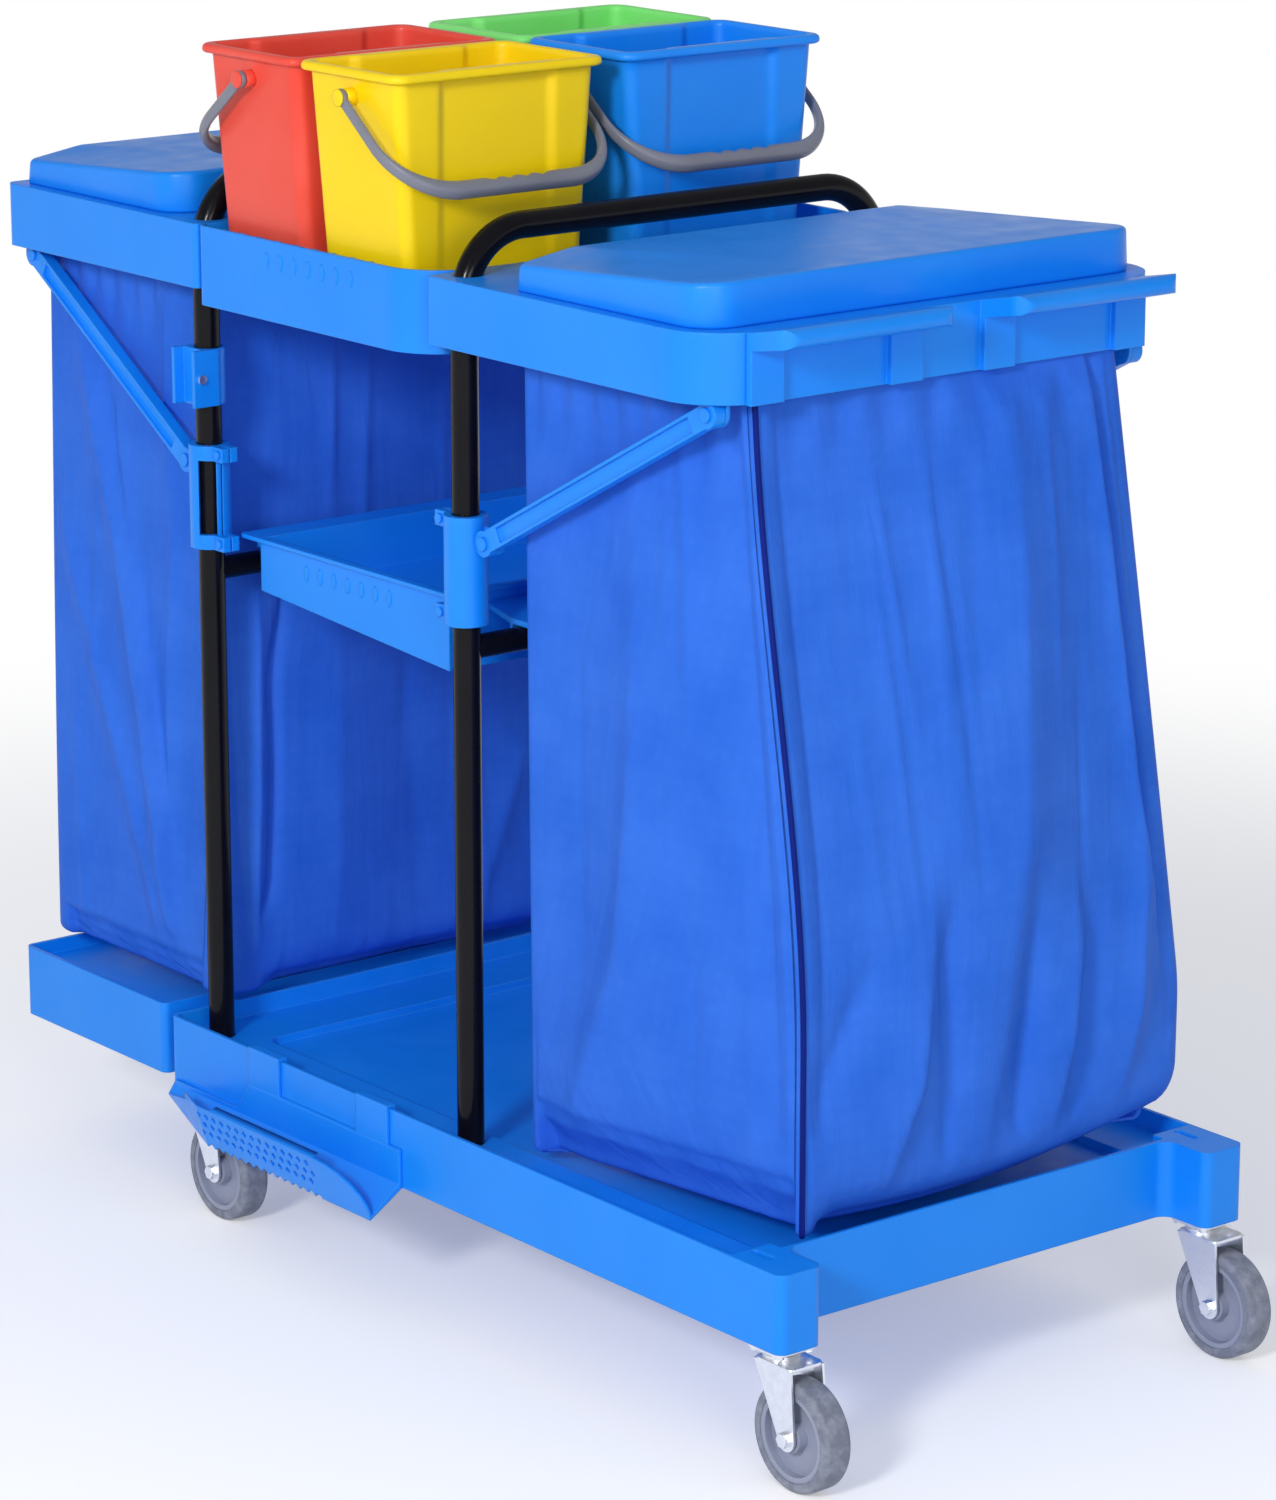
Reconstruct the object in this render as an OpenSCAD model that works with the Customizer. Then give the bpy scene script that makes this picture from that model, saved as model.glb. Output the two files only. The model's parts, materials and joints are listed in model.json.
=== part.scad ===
// Janitor cart: a moulded base on four swivel casters, two steel arches, two lidded bag frames,
// a tray with four buckets, a sloping middle tray and a hook-on mop tray.
// +X is the push end, -Y is the side with the mop tray, and Z is up from the floor.

/* [Base] */
// From the line midway between the arches back to the rear edge of the deck
deck_rear = 240; // [236:1:270]
// From that line forward to the front of the caster blocks
deck_front = 688; // [660:1:760]
// Width of the deck over its side walls
deck_w = 550; // [536:1:600]
// Height of the deck's side walls
deck_h = 72; // [66:1:90]
// Wall thickness of the deck and the rear platform
deck_wall = 4; // [3:0.5:5]
// Depth of the ledge below the rim of the deck
ledge_drop = 19; // [14:1:24]
// Depth of the sunk floor below the ledge
floor_drop = 8; // [6:1:30]
// Width of the ledge that the posts stand in
ledge_w = 62; // [58:1:76]
// Width of a caster block
block_w = 48; // [46:1:60]
// How far the caster blocks stand out past the end panel
block_len = 52; // [48:1:66]
// Length of the rear platform
platform_len = 256; // [240:1:280]
// Gap between the rear platform and the deck
platform_gap = 31; // [20:1:40]
// Width of the rear platform
platform_w = 524; // [480:1:530]
// Depth of the rear platform's floor below its rim
platform_drop = 14; // [8:1:24]

/* [Arches] */
// Diameter of the arch tube
tube_d = 25; // [22:0.5:28]
// Wall thickness of the tubes
tube_wall = 1.5; // [1.2:0.1:2.5]
// Height of the centre of an arch's top bar
arch_h = 1021; // [1010:1:1040]
// Bend radius of the arch at the tube's centre
bend_r = 64; // [45:1:80]
// From the side of the deck in to a post's centre
post_inset = 36; // [34:1:40]
// Diameter of the crossbars
bar_d = 22; // [18:0.5:24]
// Height of the crossbars' centres
bar_h = 645; // [560:1:660]

/* [Trays] */
// Depth of the top tray over its rim and floor
tray_h = 75; // [60:1:95]
// Wall thickness of the trays
tray_wall = 4; // [3:0.5:5]
// Corner radius of the top tray at its front end
tray_corner = 60; // [40:1:70]
// Corner radius of the top tray at its rear end
tray_rear_corner = 12; // [8:1:40]
// Length of the middle tray's bowl
mid_len = 300; // [260:1:320]
// Width of the middle tray's bowl
mid_w = 438; // [380:1:440]
// Height of the middle tray's rim above the crossbars' centres
mid_rise = 38; // [32:1:60]
// Depth of the middle tray at its shallow end
mid_shallow = 52; // [40:1:60]
// Depth of the middle tray at its deep end
mid_deep = 73; // [61:1:90]

/* [Bag frames] */
// Height of the top of the bag frames
frame_top = 982; // [960:1:990]
// Depth of a bag frame's wall
frame_h = 61; // [50:1:75]
// Wall thickness of the bag frames
frame_wall = 4; // [3:0.5:5]
// From the middle line to the end of the front frame
front_reach = 577; // [560:1:620]
// From the middle line to the end of the rear frame
rear_reach = 516; // [500:1:530]
// From the side of the deck in to the side of a bag frame
frame_inset = 11; // [6:1:16]
// Corner radius at the push end
push_corner = 60; // [40:1:70]
// Corner radius at the rear end
rear_corner = 12; // [8:1:30]
// From the end of the front frame out to the centre of a push grip's nose
grip_out = 44; // [38:1:50]
// Radius of a push grip's rolled nose
grip_r = 8.5; // [7:0.5:11]
// Thickness of a push grip's wedge where it leaves the frame
grip_wall = 16; // [4:0.5:20]
// Length of one push grip
grip_len = 190; // [150:1:200]
// Gap between the two push grips
grip_gap = 70; // [40:1:80]

/* [Lids] */
// Length of a lid
lid_len = 263; // [240:1:270]
// Width of a lid
lid_w = 502; // [470:1:508]
// Thickness of a lid at its free end
lid_thick = 39; // [34:1:50]
// Thickness of a lid at its hinge
lid_thin = 32; // [24:1:36]
// Wall thickness of a lid
lid_wall = 3; // [2.5:0.5:4]
// Corner radius at the free end of a lid
lid_corner = 36; // [20:1:50]
// From the end of the front frame in to the free end of its lid
lid_setback = 24; // [16:1:40]
// Diameter of a hinge pin
hinge_d = 6; // [5:0.5:7]

/* [Bags] */
// Thickness of a bag's cloth with its lining
bag_t = 2; // [1.5:0.5:3]
// Height of a bag's bottom above the deck's rim
bag_lift = 4; // [2:1:20]
// How far the front bag flares out at the push end
front_flare = 62; // [20:1:64]
// How far the bags flare out along their sides
side_flare = 12; // [4:1:16]
// Corner radius of the front bag
front_bag_corner = 20; // [12:1:50]

/* [Buckets] */
// Length of a bucket's rim
bucket_l = 156; // [150:1:164]
// Width of a bucket's rim
bucket_w = 238; // [225:1:242]
// Height of a bucket
bucket_h = 241; // [225:1:255]
// Length of a bucket's base
base_l = 128; // [110:1:132]
// Width of a bucket's base
base_w = 190; // [170:1:200]
// Wall thickness of a bucket
bucket_wall = 3; // [2:0.5:4]
// Corner radius of a bucket's rim
bucket_corner = 14; // [12:1:24]
// Width of the sunk panel in a bucket's long sides
panel_w = 112; // [80:1:130]
// Depth of that panel just below the rim
panel_dip = 6; // [3:0.5:8]
// From a bail's pivot to the middle of its grip
bail_reach = 124; // [120:1:134]
// Thickness of a bail's arm at its pivot
bail_t = 5; // [4:0.5:6]
// Width of a bail's arm at its pivot
bail_w = 11; // [10:0.5:14]
// Radius of the bail's two bends
bail_bend = 62; // [50:1:64]
// Thickness of a bail's grip
grip_t = 16; // [12:0.5:18]
// Width of a bail's grip
grip_w = 15; // [12:0.5:18]

/* [Braces] */
// Width of a brace
brace_w = 24; // [20:1:28]
// Thickness of a brace
brace_t = 12; // [10:0.5:13]
// Height of the middle of a post clamp above the crossbars' centres
clamp_h = 73; // [68:1:80]
// Length of a post clamp
clamp_len = 100; // [96:1:120]
// Outer radius of a post clamp
clamp_r = 20; // [19:0.5:22]
// Diameter of the brace pins
pin_d = 8; // [6:0.5:9]

/* [Casters] */
// Diameter of a caster wheel
wheel_d = 100; // [90:1:110]
// Width of a tyre
tyre_w = 28; // [24:1:30]
// Depth of a tyre's rubber
tyre_t = 10; // [8:0.5:16]
// From the swivel axis back to the wheel's axle
trail = 28; // [20:1:32]
// Height of the swivel head over the wheel
caster_head = 25; // [24:1:32]
// Thickness of the fork's pressed steel
fork_t = 2.5; // [2:0.1:3]
// Diameter of a wheel axle
axle_d = 8; // [7:0.5:10]

/* [Mop tray] */
// Length of the mop tray
mop_len = 377; // [330:1:390]
// How far the mop tray stands out from the deck
mop_out = 50; // [44:1:60]
// How far the mop tray hangs below the deck
mop_drop = 24; // [20:1:38]
// Wall thickness of the mop tray
mop_wall = 3.5; // [3:0.5:4]

/* [Hidden] */
$fn = 48;

// Clearances: a seat between parts, a running fit, and the overshoot of a cut
seat = 0.3;
run = 0.05;
cut = 1;
near = -1;
far = 1;
sides = [near, far];

// Colours
blue = "#1f7ff0";
bag_blue = "#3557cf";
black = "#15161a";
zinc = "#c8ccd6";
grey = "#6f6f80";
rubber = "#55555f";
hub_grey = "#8c91a5";

// Heights and half-widths of the base
deck_hw = deck_w / 2;
deck_z = wheel_d + caster_head;
deck_top = deck_z + deck_h;
ledge_z = deck_top - ledge_drop;
floor_z = ledge_z - floor_drop;
panel_x = deck_front - block_len;
deck_corner = 8;
block_corner = 10;
block_fillet = 14;
block_back = 18;
slot_l = 28;
slot_w = 7;
slot_deep = 8;
slot_back = 26;
floor_hw = deck_hw - ledge_w;
rear_ledge_w = 75;
floor_rear = -deck_rear + rear_ledge_w;
floor_front = panel_x - ledge_w / 2;
floor_corner = 16;
rib_t = 3;
rib_count = 5;
rim_clip = 12;
neck_hw = 200;
neck_h = 46;
screw_count = 4;
screw_head = 3;
platform_rear = deck_rear + platform_gap + platform_len;
platform_hw = platform_w / 2;

// Posts
tube_r = tube_d / 2;
bar_r = bar_d / 2;
bay_margin = 47.6;
post_x = bucket_l + bay_margin;
post_y = deck_hw - post_inset;
socket_wall = 5;
socket_depth = 28;
foot_z = ledge_z - socket_depth;

// Trays and frames
frame_z = frame_top - frame_h;
frame_hw = deck_hw - frame_inset;
tray_gap = 9.1;
tray_hl = post_x - tube_r - tray_gap;
tray_z = frame_top - tray_h;
tray_floor = tray_z + tray_wall;
hook_l = 10;
hook_hw = 110;
hook_t = 3;
frame_x = tray_hl + seat;
inner_corner = 5;
sleeve_wall = 4.5;
grip_end = 16;
grip_rib_w = 36;
grip_rib_out = 6;
rim_ribs = 9;
rim_rib_r = 3;
mid_rim_out = 5;
mid_rim_rear = 28;
mid_lip_inset = 40;
mid_lip_drop = 12;
mid_lip_t = 5;

// Lids: the hinge is at the rear end of each lid
knuckle_r = hinge_d / 2 + 3.3;
hinge_gap = 0.7;
hinge_z = frame_top + knuckle_r + seat;
front_lid_x = front_reach - lid_setback - lid_len;
rear_lid_x = -rear_reach + 2 * knuckle_r + hinge_gap + 1;
knuckle_w = 20;
ear_w = 12;
hinge_y = 150;
mouth_margin = 12;
mouth_corner = 26;

// Bags
bag_clear = 10;
bag_top = frame_top - frame_wall;
bag_bottom = deck_top + bag_lift;
bag_hw = post_y - brace_t / 2 - bag_clear / 2;
rear_bag_corner = 40;
rear_flare = 5;
flare_turn = 112;
bag_rings = 8;
corner_steps = 5;

// Braces and clamps
pin_r = pin_d / 2;
eye_r = brace_w / 2;
brace_step = 2;
brace_rib = 3;
brace_pocket = 4;
lug_t = 4;
lug_drop = 10;
pin_z = frame_z - lug_drop;
front_pin_in = 29;
front_pin_x = front_reach - front_pin_in;
rear_pin_in = 16;
rear_pin_x = -rear_reach + rear_pin_in;
pin_below = 21;
clamp_pin_x = clamp_r + eye_r + cut;
clamp_z = bar_h + clamp_h;
clamp_top = clamp_z + clamp_len / 2;
clamp_pin_z = clamp_top - pin_below;
bolt_r = 2.5;
bolt_head = 4.5;
flange_l = 14;
flange_t = 9;
slit = 1.6;
window_w = 17;
window_turn = 42;

// Tool clip
clip_share = 0.43;
clip_z = clamp_top + clip_share * (frame_z - clamp_top);
clip_tall = 0.353;
clip_h = clip_tall * (frame_z - clamp_top);
clip_r = 17;
clip_w = 38;
clip_out = 28;
jaw_wall = 4;

// Buckets
bucket_gap = 3;
lip_out = 8;
lip_h = 12;
stud_r = 5;
stud_head = 8;
stud_head_t = 2;
pivot_drop = 26;
bail_gap = 1.5;
bail_in = bucket_w / 2 + bail_gap;
bail_hw = bail_in + bail_t;
stud_out = bail_hw + seat;
bucket_x = (bucket_l + bucket_gap) / 2;
bucket_row_gap = 3.4;
bucket_y = stud_out + stud_head_t + bucket_row_gap / 2;
bucket_back = 17;
bucket_side = 16;
panel_step = 12;
bucket_z = tray_floor + seat;
pivot_z = bucket_z + bucket_h - pivot_drop;
groove_count = 4;
groove_pitch = 18;
groove_r = 8;
groove_deep = 3;
bail_rest_gap = 8;
bail_steps = 8;
bail_sides = 12;
bail_square = 0.7;
wall_angle = acos((bucket_l / 2 + grip_t / 2 + bail_rest_gap) / bail_reach);
arch_angle = asin((pivot_z - arch_h - tube_r - bail_rest_gap - grip_t / 2) / bail_reach);
bail_hang = min(wall_angle, arch_angle);

// Casters
wheel_r = wheel_d / 2;
hub_r = wheel_r - tyre_t;
axle_r = axle_d / 2;
caster_y = deck_hw - block_w / 2;
front_caster_x = deck_front - block_len / 2;
rear_caster_in = 33;
rear_caster_x = -deck_rear + rear_caster_in;
plate_t = 3.5;
plate_l = 44;
plate_corner = 6;
race_r = 17;
crown_t = 3;
wheel_gap = 11;
crown_z = wheel_d + wheel_gap;
king_r = 6;
king_head = 9;
king_head_t = 2;
fork_gap = 2.5;
fork_in = tyre_w / 2 + fork_gap;
fork_eye = 11;
nut_r = 7;
nut_t = 5;
caster_bolt_r = 3;
caster_bolt_in = 16;
hub_w = tyre_w + 1;
web_t = 9;
boss_r = 13;
rim_t = 5;
shoulder = 5;

// Mop tray, along the near side of the deck
mop_x1 = 145;
mop_x0 = mop_x1 - mop_len;
mop_taper = 0.83;
mop_tip = 0.2;
mop_tip_in = 0.3;
mop_low = 0.74;
mop_slant = 1.2;
mop_z = deck_z - mop_drop;
mop_rise = 24;
mop_back_drop = 34;
mop_back = deck_top - mop_back_drop;
mop_back_rise = 8;
mop_back_low = deck_z + mop_back_rise;
mop_front_h = 44;
mop_tip_drop = 32;
mop_lip_h = 4;
mop_spout_l = 75;
mop_spout_steps = 6;
mop_cut_x = mop_x1 - mop_spout_l;
mop_hook_inset = 44;
mop_hook_span = 176;
mop_hook_w = 50;
mop_hook_l = 26;
mop_hook_t = 3.2;
mop_hook_in = 14;
mop_hook_x = mop_x1 - mop_hook_inset - mop_hook_span;
mop_holes = 15;
mop_rows = 3;
mop_hole = 3.8;
mop_row = 9.5;
mop_notch_r = 5;
mop_notch_in = 14;

// The part stands with its origin under the middle of its outline, on the floor
mid_x = (front_caster_x + trail + wheel_r - platform_rear) / 2;
mid_y = -mop_out / 2;

// Rounded outline from x0 to x1, with half-width hw and a corner radius for each end
module plan(x0, x1, hw, r0, r1) {
    middle = (x0 + x1) / 2;
    translate([x0 + r0, -hw]) square([x1 - r1 - x0 - r0, 2 * hw]);
    translate([x0, -hw + r0]) square([middle - x0, 2 * (hw - r0)]);
    translate([middle, -hw + r1]) square([x1 - middle, 2 * (hw - r1)]);
    for (s = sides) {
        translate([x0 + r0, s * (hw - r0)]) circle(r0);
        translate([x1 - r1, s * (hw - r1)]) circle(r1);
    }
}

// A flat slab of an outline between two heights
module slab(z0, z1) {
    translate([0, 0, z0]) linear_extrude(z1 - z0) children();
}

// A profile drawn in X and Z, carried along Y from y0 to y1
module across(y0, y1) {
    translate([0, y1, 0]) rotate([90, 0, 0]) linear_extrude(y1 - y0) children();
}

// A profile drawn in Y and Z, carried along X from x0 to x1
module along(x0, x1) {
    translate([x0, 0, 0]) rotate([90, 0, 90]) linear_extrude(x1 - x0) children();
}

// A round rod along Y
module rod_y(x, z, r, y0, y1) {
    translate([x, y1, z]) rotate([90, 0, 0]) cylinder(r = r, h = y1 - y0);
}

// Points of a quarter arc of n steps about x and y, from angle a
function quarter(x, y, r, a, n) = [
    for (i = [0:n]) let (t = a + 90 * i / n) [x + r * cos(t), y + r * sin(t)]
];

// A rounded outline as a ring of points at height z
function ring(x0, x1, hw, r, z, n) = [
    for (p = concat(
        quarter(x1 - r, hw - r, r, 0, n),
        quarter(x0 + r, hw - r, r, 90, n),
        quarter(x0 + r, -hw + r, r, 180, n),
        quarter(x1 - r, -hw + r, r, 270, n)
    )) [p[0], p[1], z]
];

// A closed skin through a list of rings, with a cap on the first and on the last
module loft(rings) {
    n = len(rings[0]);
    last = len(rings) - 1;
    points = [for (r = rings) each r];
    walls = [for (k = [0:last - 1], i = [0:n - 1]) let (j = (i + 1) % n)
        each [[k * n + i, k * n + n + i, k * n + n + j], [k * n + i, k * n + n + j, k * n + j]]];
    first_cap = [for (i = [0:n - 1]) i];
    last_cap = [for (i = [n - 1:-1:0]) last * n + i];
    polyhedron(points, concat([first_cap], walls, [last_cap]));
}

// Base

module deck_outline(inset) {
    plan(-deck_rear + inset, panel_x - inset, deck_hw - inset, deck_corner, deck_corner);
    for (s = sides) {
        translate([0, s * (deck_hw - block_w / 2)])
            plan(panel_x - block_len, deck_front - inset, block_w / 2 - inset, deck_corner, block_corner);
        if (inset == 0) block_web(s);
    }
}

// The hollow curve between a caster block and the end panel
module block_web(s) {
    y = deck_hw - block_w;
    difference() {
        translate([panel_x - cut, s > 0 ? y - block_fillet : -y]) square([block_fillet + cut, block_fillet]);
        translate([panel_x + block_fillet, s * (y - block_fillet)]) circle(block_fillet);
    }
}

module floor_outline(grow) {
    plan(floor_rear - grow, floor_front + grow, floor_hw + grow, floor_corner + grow, floor_corner + grow);
}

// The solid corner under the ledge that a caster is bolted to
module caster_pad(x, y) {
    side = block_w - 2 * deck_wall + cut;
    translate([x - side / 2, y - side / 2, deck_z]) cube([side, side, ledge_z - deck_z]);
}

module post_bores(r, z0, z1) {
    for (sx = sides, sy = sides)
        translate([sx * post_x, sy * post_y, z0]) cylinder(r = r, h = z1 - z0);
}

// What stays under the deck: floor pan, caster corners, post sockets and cross ribs
module deck_under() {
    rib_pitch = (floor_front - floor_rear) / (rib_count + 1);
    slab(floor_z - deck_wall, deck_top) floor_outline(deck_wall);
    for (s = sides) {
        caster_pad(front_caster_x, s * caster_y);
        caster_pad(rear_caster_x, s * caster_y);
    }
    post_bores(tube_r + socket_wall, foot_z - deck_wall, ledge_z);
    for (i = [1:rib_count])
        translate([floor_rear + i * rib_pitch - rib_t / 2, -deck_hw, deck_z + deck_wall])
            cube([rib_t, deck_w, ledge_z - deck_z - deck_wall]);
}

// The open top of the deck inside its rim, which leaves the caster blocks closed
module deck_pan() {
    difference() {
        slab(ledge_z, deck_top + cut)
            plan(-deck_rear + deck_wall, panel_x - deck_wall, deck_hw - deck_wall, deck_corner, deck_corner);
        for (s = sides)
            translate([panel_x - block_back, s > 0 ? deck_hw - block_w : -deck_hw, ledge_z - cut])
                cube([block_back + cut, block_w, deck_h]);
    }
}

module block_slots() {
    for (s = sides)
        translate([front_caster_x - slot_back, s * caster_y, 0]) slab(deck_top - slot_deep, deck_top + cut)
            plan(-slot_l / 2, slot_l / 2, slot_w / 2, slot_w / 2 - seat, slot_w / 2 - seat);
}

module base_deck() {
    color(blue) difference() {
        slab(deck_z, deck_top) deck_outline(0);
        deck_pan();
        slab(floor_z, deck_top + cut) floor_outline(0);
        post_bores(tube_r + seat, foot_z, deck_top);
        block_slots();
        difference() {
            slab(deck_z - cut, ledge_z - deck_wall) deck_outline(deck_wall);
            deck_under();
        }
    }
}

module platform_outline(inset) {
    corner = deck_corner - inset;
    plan(-platform_rear + inset, -deck_rear - platform_gap - inset, platform_hw - inset, corner, corner);
}

module rear_platform() {
    floor_top = deck_top - platform_drop;
    color(blue) {
        difference() {
            slab(deck_z, deck_top) platform_outline(0);
            slab(floor_top, deck_top + cut) platform_outline(deck_wall);
            slab(deck_z - cut, floor_top - deck_wall) platform_outline(deck_wall);
        }
        translate([-deck_rear - platform_gap - deck_wall, -neck_hw, deck_z + deck_wall])
            cube([platform_gap + deck_wall, 2 * neck_hw, neck_h]);
    }
}

// Screws driven from inside the deck wall through to the neck
module platform_screws() {
    z = deck_z + deck_wall + neck_h / 2;
    pitch = 2 * neck_hw / screw_count;
    color(zinc) for (i = [0.5:screw_count - 0.5])
        translate([-deck_rear + deck_wall, i * pitch - neck_hw, z]) rotate([0, 90, 0])
            cylinder(r = bolt_head, h = screw_head);
}

// Arches

// The run of an arch's tube at radius r: two posts, two bends and the top bar
module arch_run(r, z0) {
    straight = post_y - bend_r;
    bend_z = arch_h - bend_r;
    for (s = sides) {
        translate([0, s * post_y, z0]) cylinder(r = r, h = bend_z - z0);
        translate([0, s * straight, bend_z]) rotate([90, 0, s > 0 ? 90 : -90])
            rotate_extrude(angle = 90) translate([bend_r, 0]) circle(r);
    }
    rod_y(0, arch_h, r, -straight, straight);
}

module arch(sx) {
    color(black) translate([sx * post_x, 0, 0]) difference() {
        union() {
            arch_run(tube_r, foot_z);
            rod_y(0, bar_h, bar_r, -post_y, post_y);
        }
        arch_run(tube_r - tube_wall, foot_z - cut);
    }
}

module front_arch() arch(1);
module rear_arch() arch(-1);

// Trays

module top_tray() {
    rib_x0 = tray_rear_corner - tray_hl;
    rib_pitch = (tray_hl - tray_corner - rib_x0) / (rim_ribs + 1);
    color(blue) {
        difference() {
            slab(tray_z, frame_top) plan(-tray_hl, tray_hl, frame_hw, tray_rear_corner, tray_corner);
            slab(tray_floor, frame_top + cut)
                plan(-tray_hl + tray_wall, tray_hl - tray_wall, frame_hw - tray_wall,
                    tray_rear_corner - tray_wall, tray_corner - tray_wall);
        }
        for (s = sides)
            translate([s > 0 ? tray_hl - tray_wall : -tray_hl - hook_l, -hook_hw, frame_top])
                cube([hook_l + tray_wall, 2 * hook_hw, hook_t]);
        for (i = [1:rim_ribs])
            translate([rib_x0 + i * rib_pitch, -frame_hw + tray_wall, frame_top - rim_clip])
                cylinder(r = rim_rib_r, h = rim_clip);
    }
}

// The middle tray's bowl seen from the side, drawn in by a wall where inset
module mid_profile(inset, top) {
    hl = mid_len / 2 - inset;
    rim = bar_h + mid_rise;
    polygon([[-hl, top], [-hl, rim - mid_shallow + inset], [hl, rim - mid_deep + inset], [hl, top]]);
}

// A lip that reaches out from the bowl's end over a crossbar and hooks behind it
module mid_lip() {
    root_x = mid_len / 2 - tray_wall;
    root_z = bar_h + mid_rise - mid_lip_drop;
    seat_z = bar_h + bar_r + seat;
    lip_end = post_x + bar_r;
    catch_x = post_x - bar_r - seat;
    polygon([
        [root_x, root_z],
        [catch_x, seat_z + mid_lip_t],
        [lip_end, seat_z + mid_lip_t],
        [lip_end, seat_z],
        [catch_x, seat_z],
        [catch_x, bar_h],
        [catch_x - tray_wall, bar_h],
        [catch_x - tray_wall, seat_z],
        [root_x, root_z - mid_lip_t],
    ]);
}

module mid_tray() {
    hl = mid_len / 2;
    hw = mid_w / 2;
    rim = bar_h + mid_rise;
    lip_hw = hw - mid_lip_inset;
    color(blue) {
        difference() {
            union() {
                across(-hw, hw) mid_profile(0, rim);
                slab(rim - tray_wall, rim)
                    plan(-hl - mid_rim_rear, hl + tray_wall, hw + mid_rim_out, mid_rim_out, mid_rim_out);
            }
            across(-hw + tray_wall, hw - tray_wall) mid_profile(tray_wall, rim + cut);
        }
        across(-lip_hw, lip_hw) mid_lip();
        mirror([1, 0, 0]) across(-lip_hw, lip_hw) mid_lip();
    }
}

// Bag frames

// A moulded ring: skirt, top plate with a mouth, and sleeves for the two posts
module bag_frame(x0, x1, r0, r1, post, lid_x) {
    mouth_x0 = lid_x + mouth_margin;
    mouth_x1 = lid_x + lid_len - mouth_margin;
    mouth_hw = bag_hw - side_flare - mouth_margin;
    difference() {
        union() {
            difference() {
                slab(frame_z, frame_top) plan(x0, x1, frame_hw, r0, r1);
                slab(frame_z - cut, frame_top - frame_wall)
                    plan(x0 + frame_wall, x1 - frame_wall, frame_hw - frame_wall,
                        max(r0 - frame_wall, 1), max(r1 - frame_wall, 1));
            }
            for (s = sides)
                translate([post, s * post_y, frame_z]) cylinder(r = tube_r + sleeve_wall, h = frame_h);
            hinge_ears(lid_x);
            children();
        }
        slab(frame_z, frame_top + cut) plan(mouth_x0, mouth_x1, mouth_hw, mouth_corner, mouth_corner);
        translate([post, 0, 0]) arch_run(tube_r + seat, 0);
        hinge_bore(lid_x, hinge_d / 2);
    }
}

function hinge_x(lid_x) = lid_x - knuckle_r - hinge_gap;

// Two pairs of ears that hold the hinge pins
module hinge_ears(lid_x) {
    x = hinge_x(lid_x);
    for (s = sides, t = sides) {
        y = s * hinge_y + t * (knuckle_w + ear_w + 2 * seat) / 2;
        rod_y(x, hinge_z, knuckle_r, y - ear_w / 2, y + ear_w / 2);
        translate([x - knuckle_r, y - ear_w / 2, frame_top - cut])
            cube([2 * knuckle_r, ear_w, hinge_z - frame_top + cut]);
    }
}

module hinge_bore(lid_x, r) {
    half = knuckle_w / 2 + ear_w + seat + cut;
    for (s = sides) rod_y(hinge_x(lid_x), hinge_z, r, s * hinge_y - half, s * hinge_y + half);
}

// A rib inside a frame that comes down as the lug of a brace
module brace_lug(x) {
    y = post_y - brace_t / 2 - seat - lug_t;
    lug_h = frame_top - frame_wall - pin_z + cut;
    for (s = sides) {
        y0 = s > 0 ? y : -y - lug_t;
        difference() {
            union() {
                rod_y(x, pin_z, eye_r, y0, y0 + lug_t);
                translate([x - eye_r, y0, pin_z]) cube([2 * eye_r, lug_t, lug_h]);
            }
            rod_y(x, pin_z, pin_r + run, y0 - cut, y0 + lug_t + cut);
        }
    }
}

// A push grip seen from its end: a wedge out from the top of the frame to a round nose
module grip_wedge() {
    x = front_reach - cut;
    nose = front_reach + grip_out;
    polygon([
        [x, frame_top],
        [x, frame_top - grip_wall],
        [nose, frame_top - grip_r],
        [nose, frame_top + grip_r],
    ]);
    translate([nose, frame_top]) circle(grip_r);
}

// Two push grips with rounded ends, and a rib down the frame's wall under each end
module push_grips() {
    half = grip_len / 2;
    nose_x = front_reach + grip_out + grip_r;
    for (s = sides) translate([0, s * (grip_gap / 2 + half), 0]) {
        intersection() {
            across(-half, half) grip_wedge();
            slab(frame_z, frame_top + 2 * grip_r) plan(front_reach - frame_wall, nose_x, half, cut, grip_end);
        }
        for (y = [-half, half - grip_rib_w])
            translate([front_reach - cut, y, frame_z])
                cube([grip_rib_out + cut, grip_rib_w, frame_h - grip_wall / 2]);
    }
}

module front_bag_frame() {
    color(blue) bag_frame(frame_x, front_reach, inner_corner, push_corner, post_x, front_lid_x) {
        brace_lug(front_pin_x);
        push_grips();
    }
}

module rear_bag_frame() {
    color(blue) bag_frame(-rear_reach, -frame_x, rear_corner, inner_corner, -post_x, rear_lid_x)
        brace_lug(rear_pin_x);
}

// Lids

// A lid seen from the side: a wedge, drawn in by a wall where inset
module lid_profile(x0, inset) {
    z0 = frame_top + seat;
    polygon([
        [x0 + inset, z0 - inset],
        [x0 + lid_len - inset, z0 - inset],
        [x0 + lid_len - inset, z0 + lid_thick - inset],
        [x0 + inset, z0 + lid_thin - inset],
    ]);
}

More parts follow.
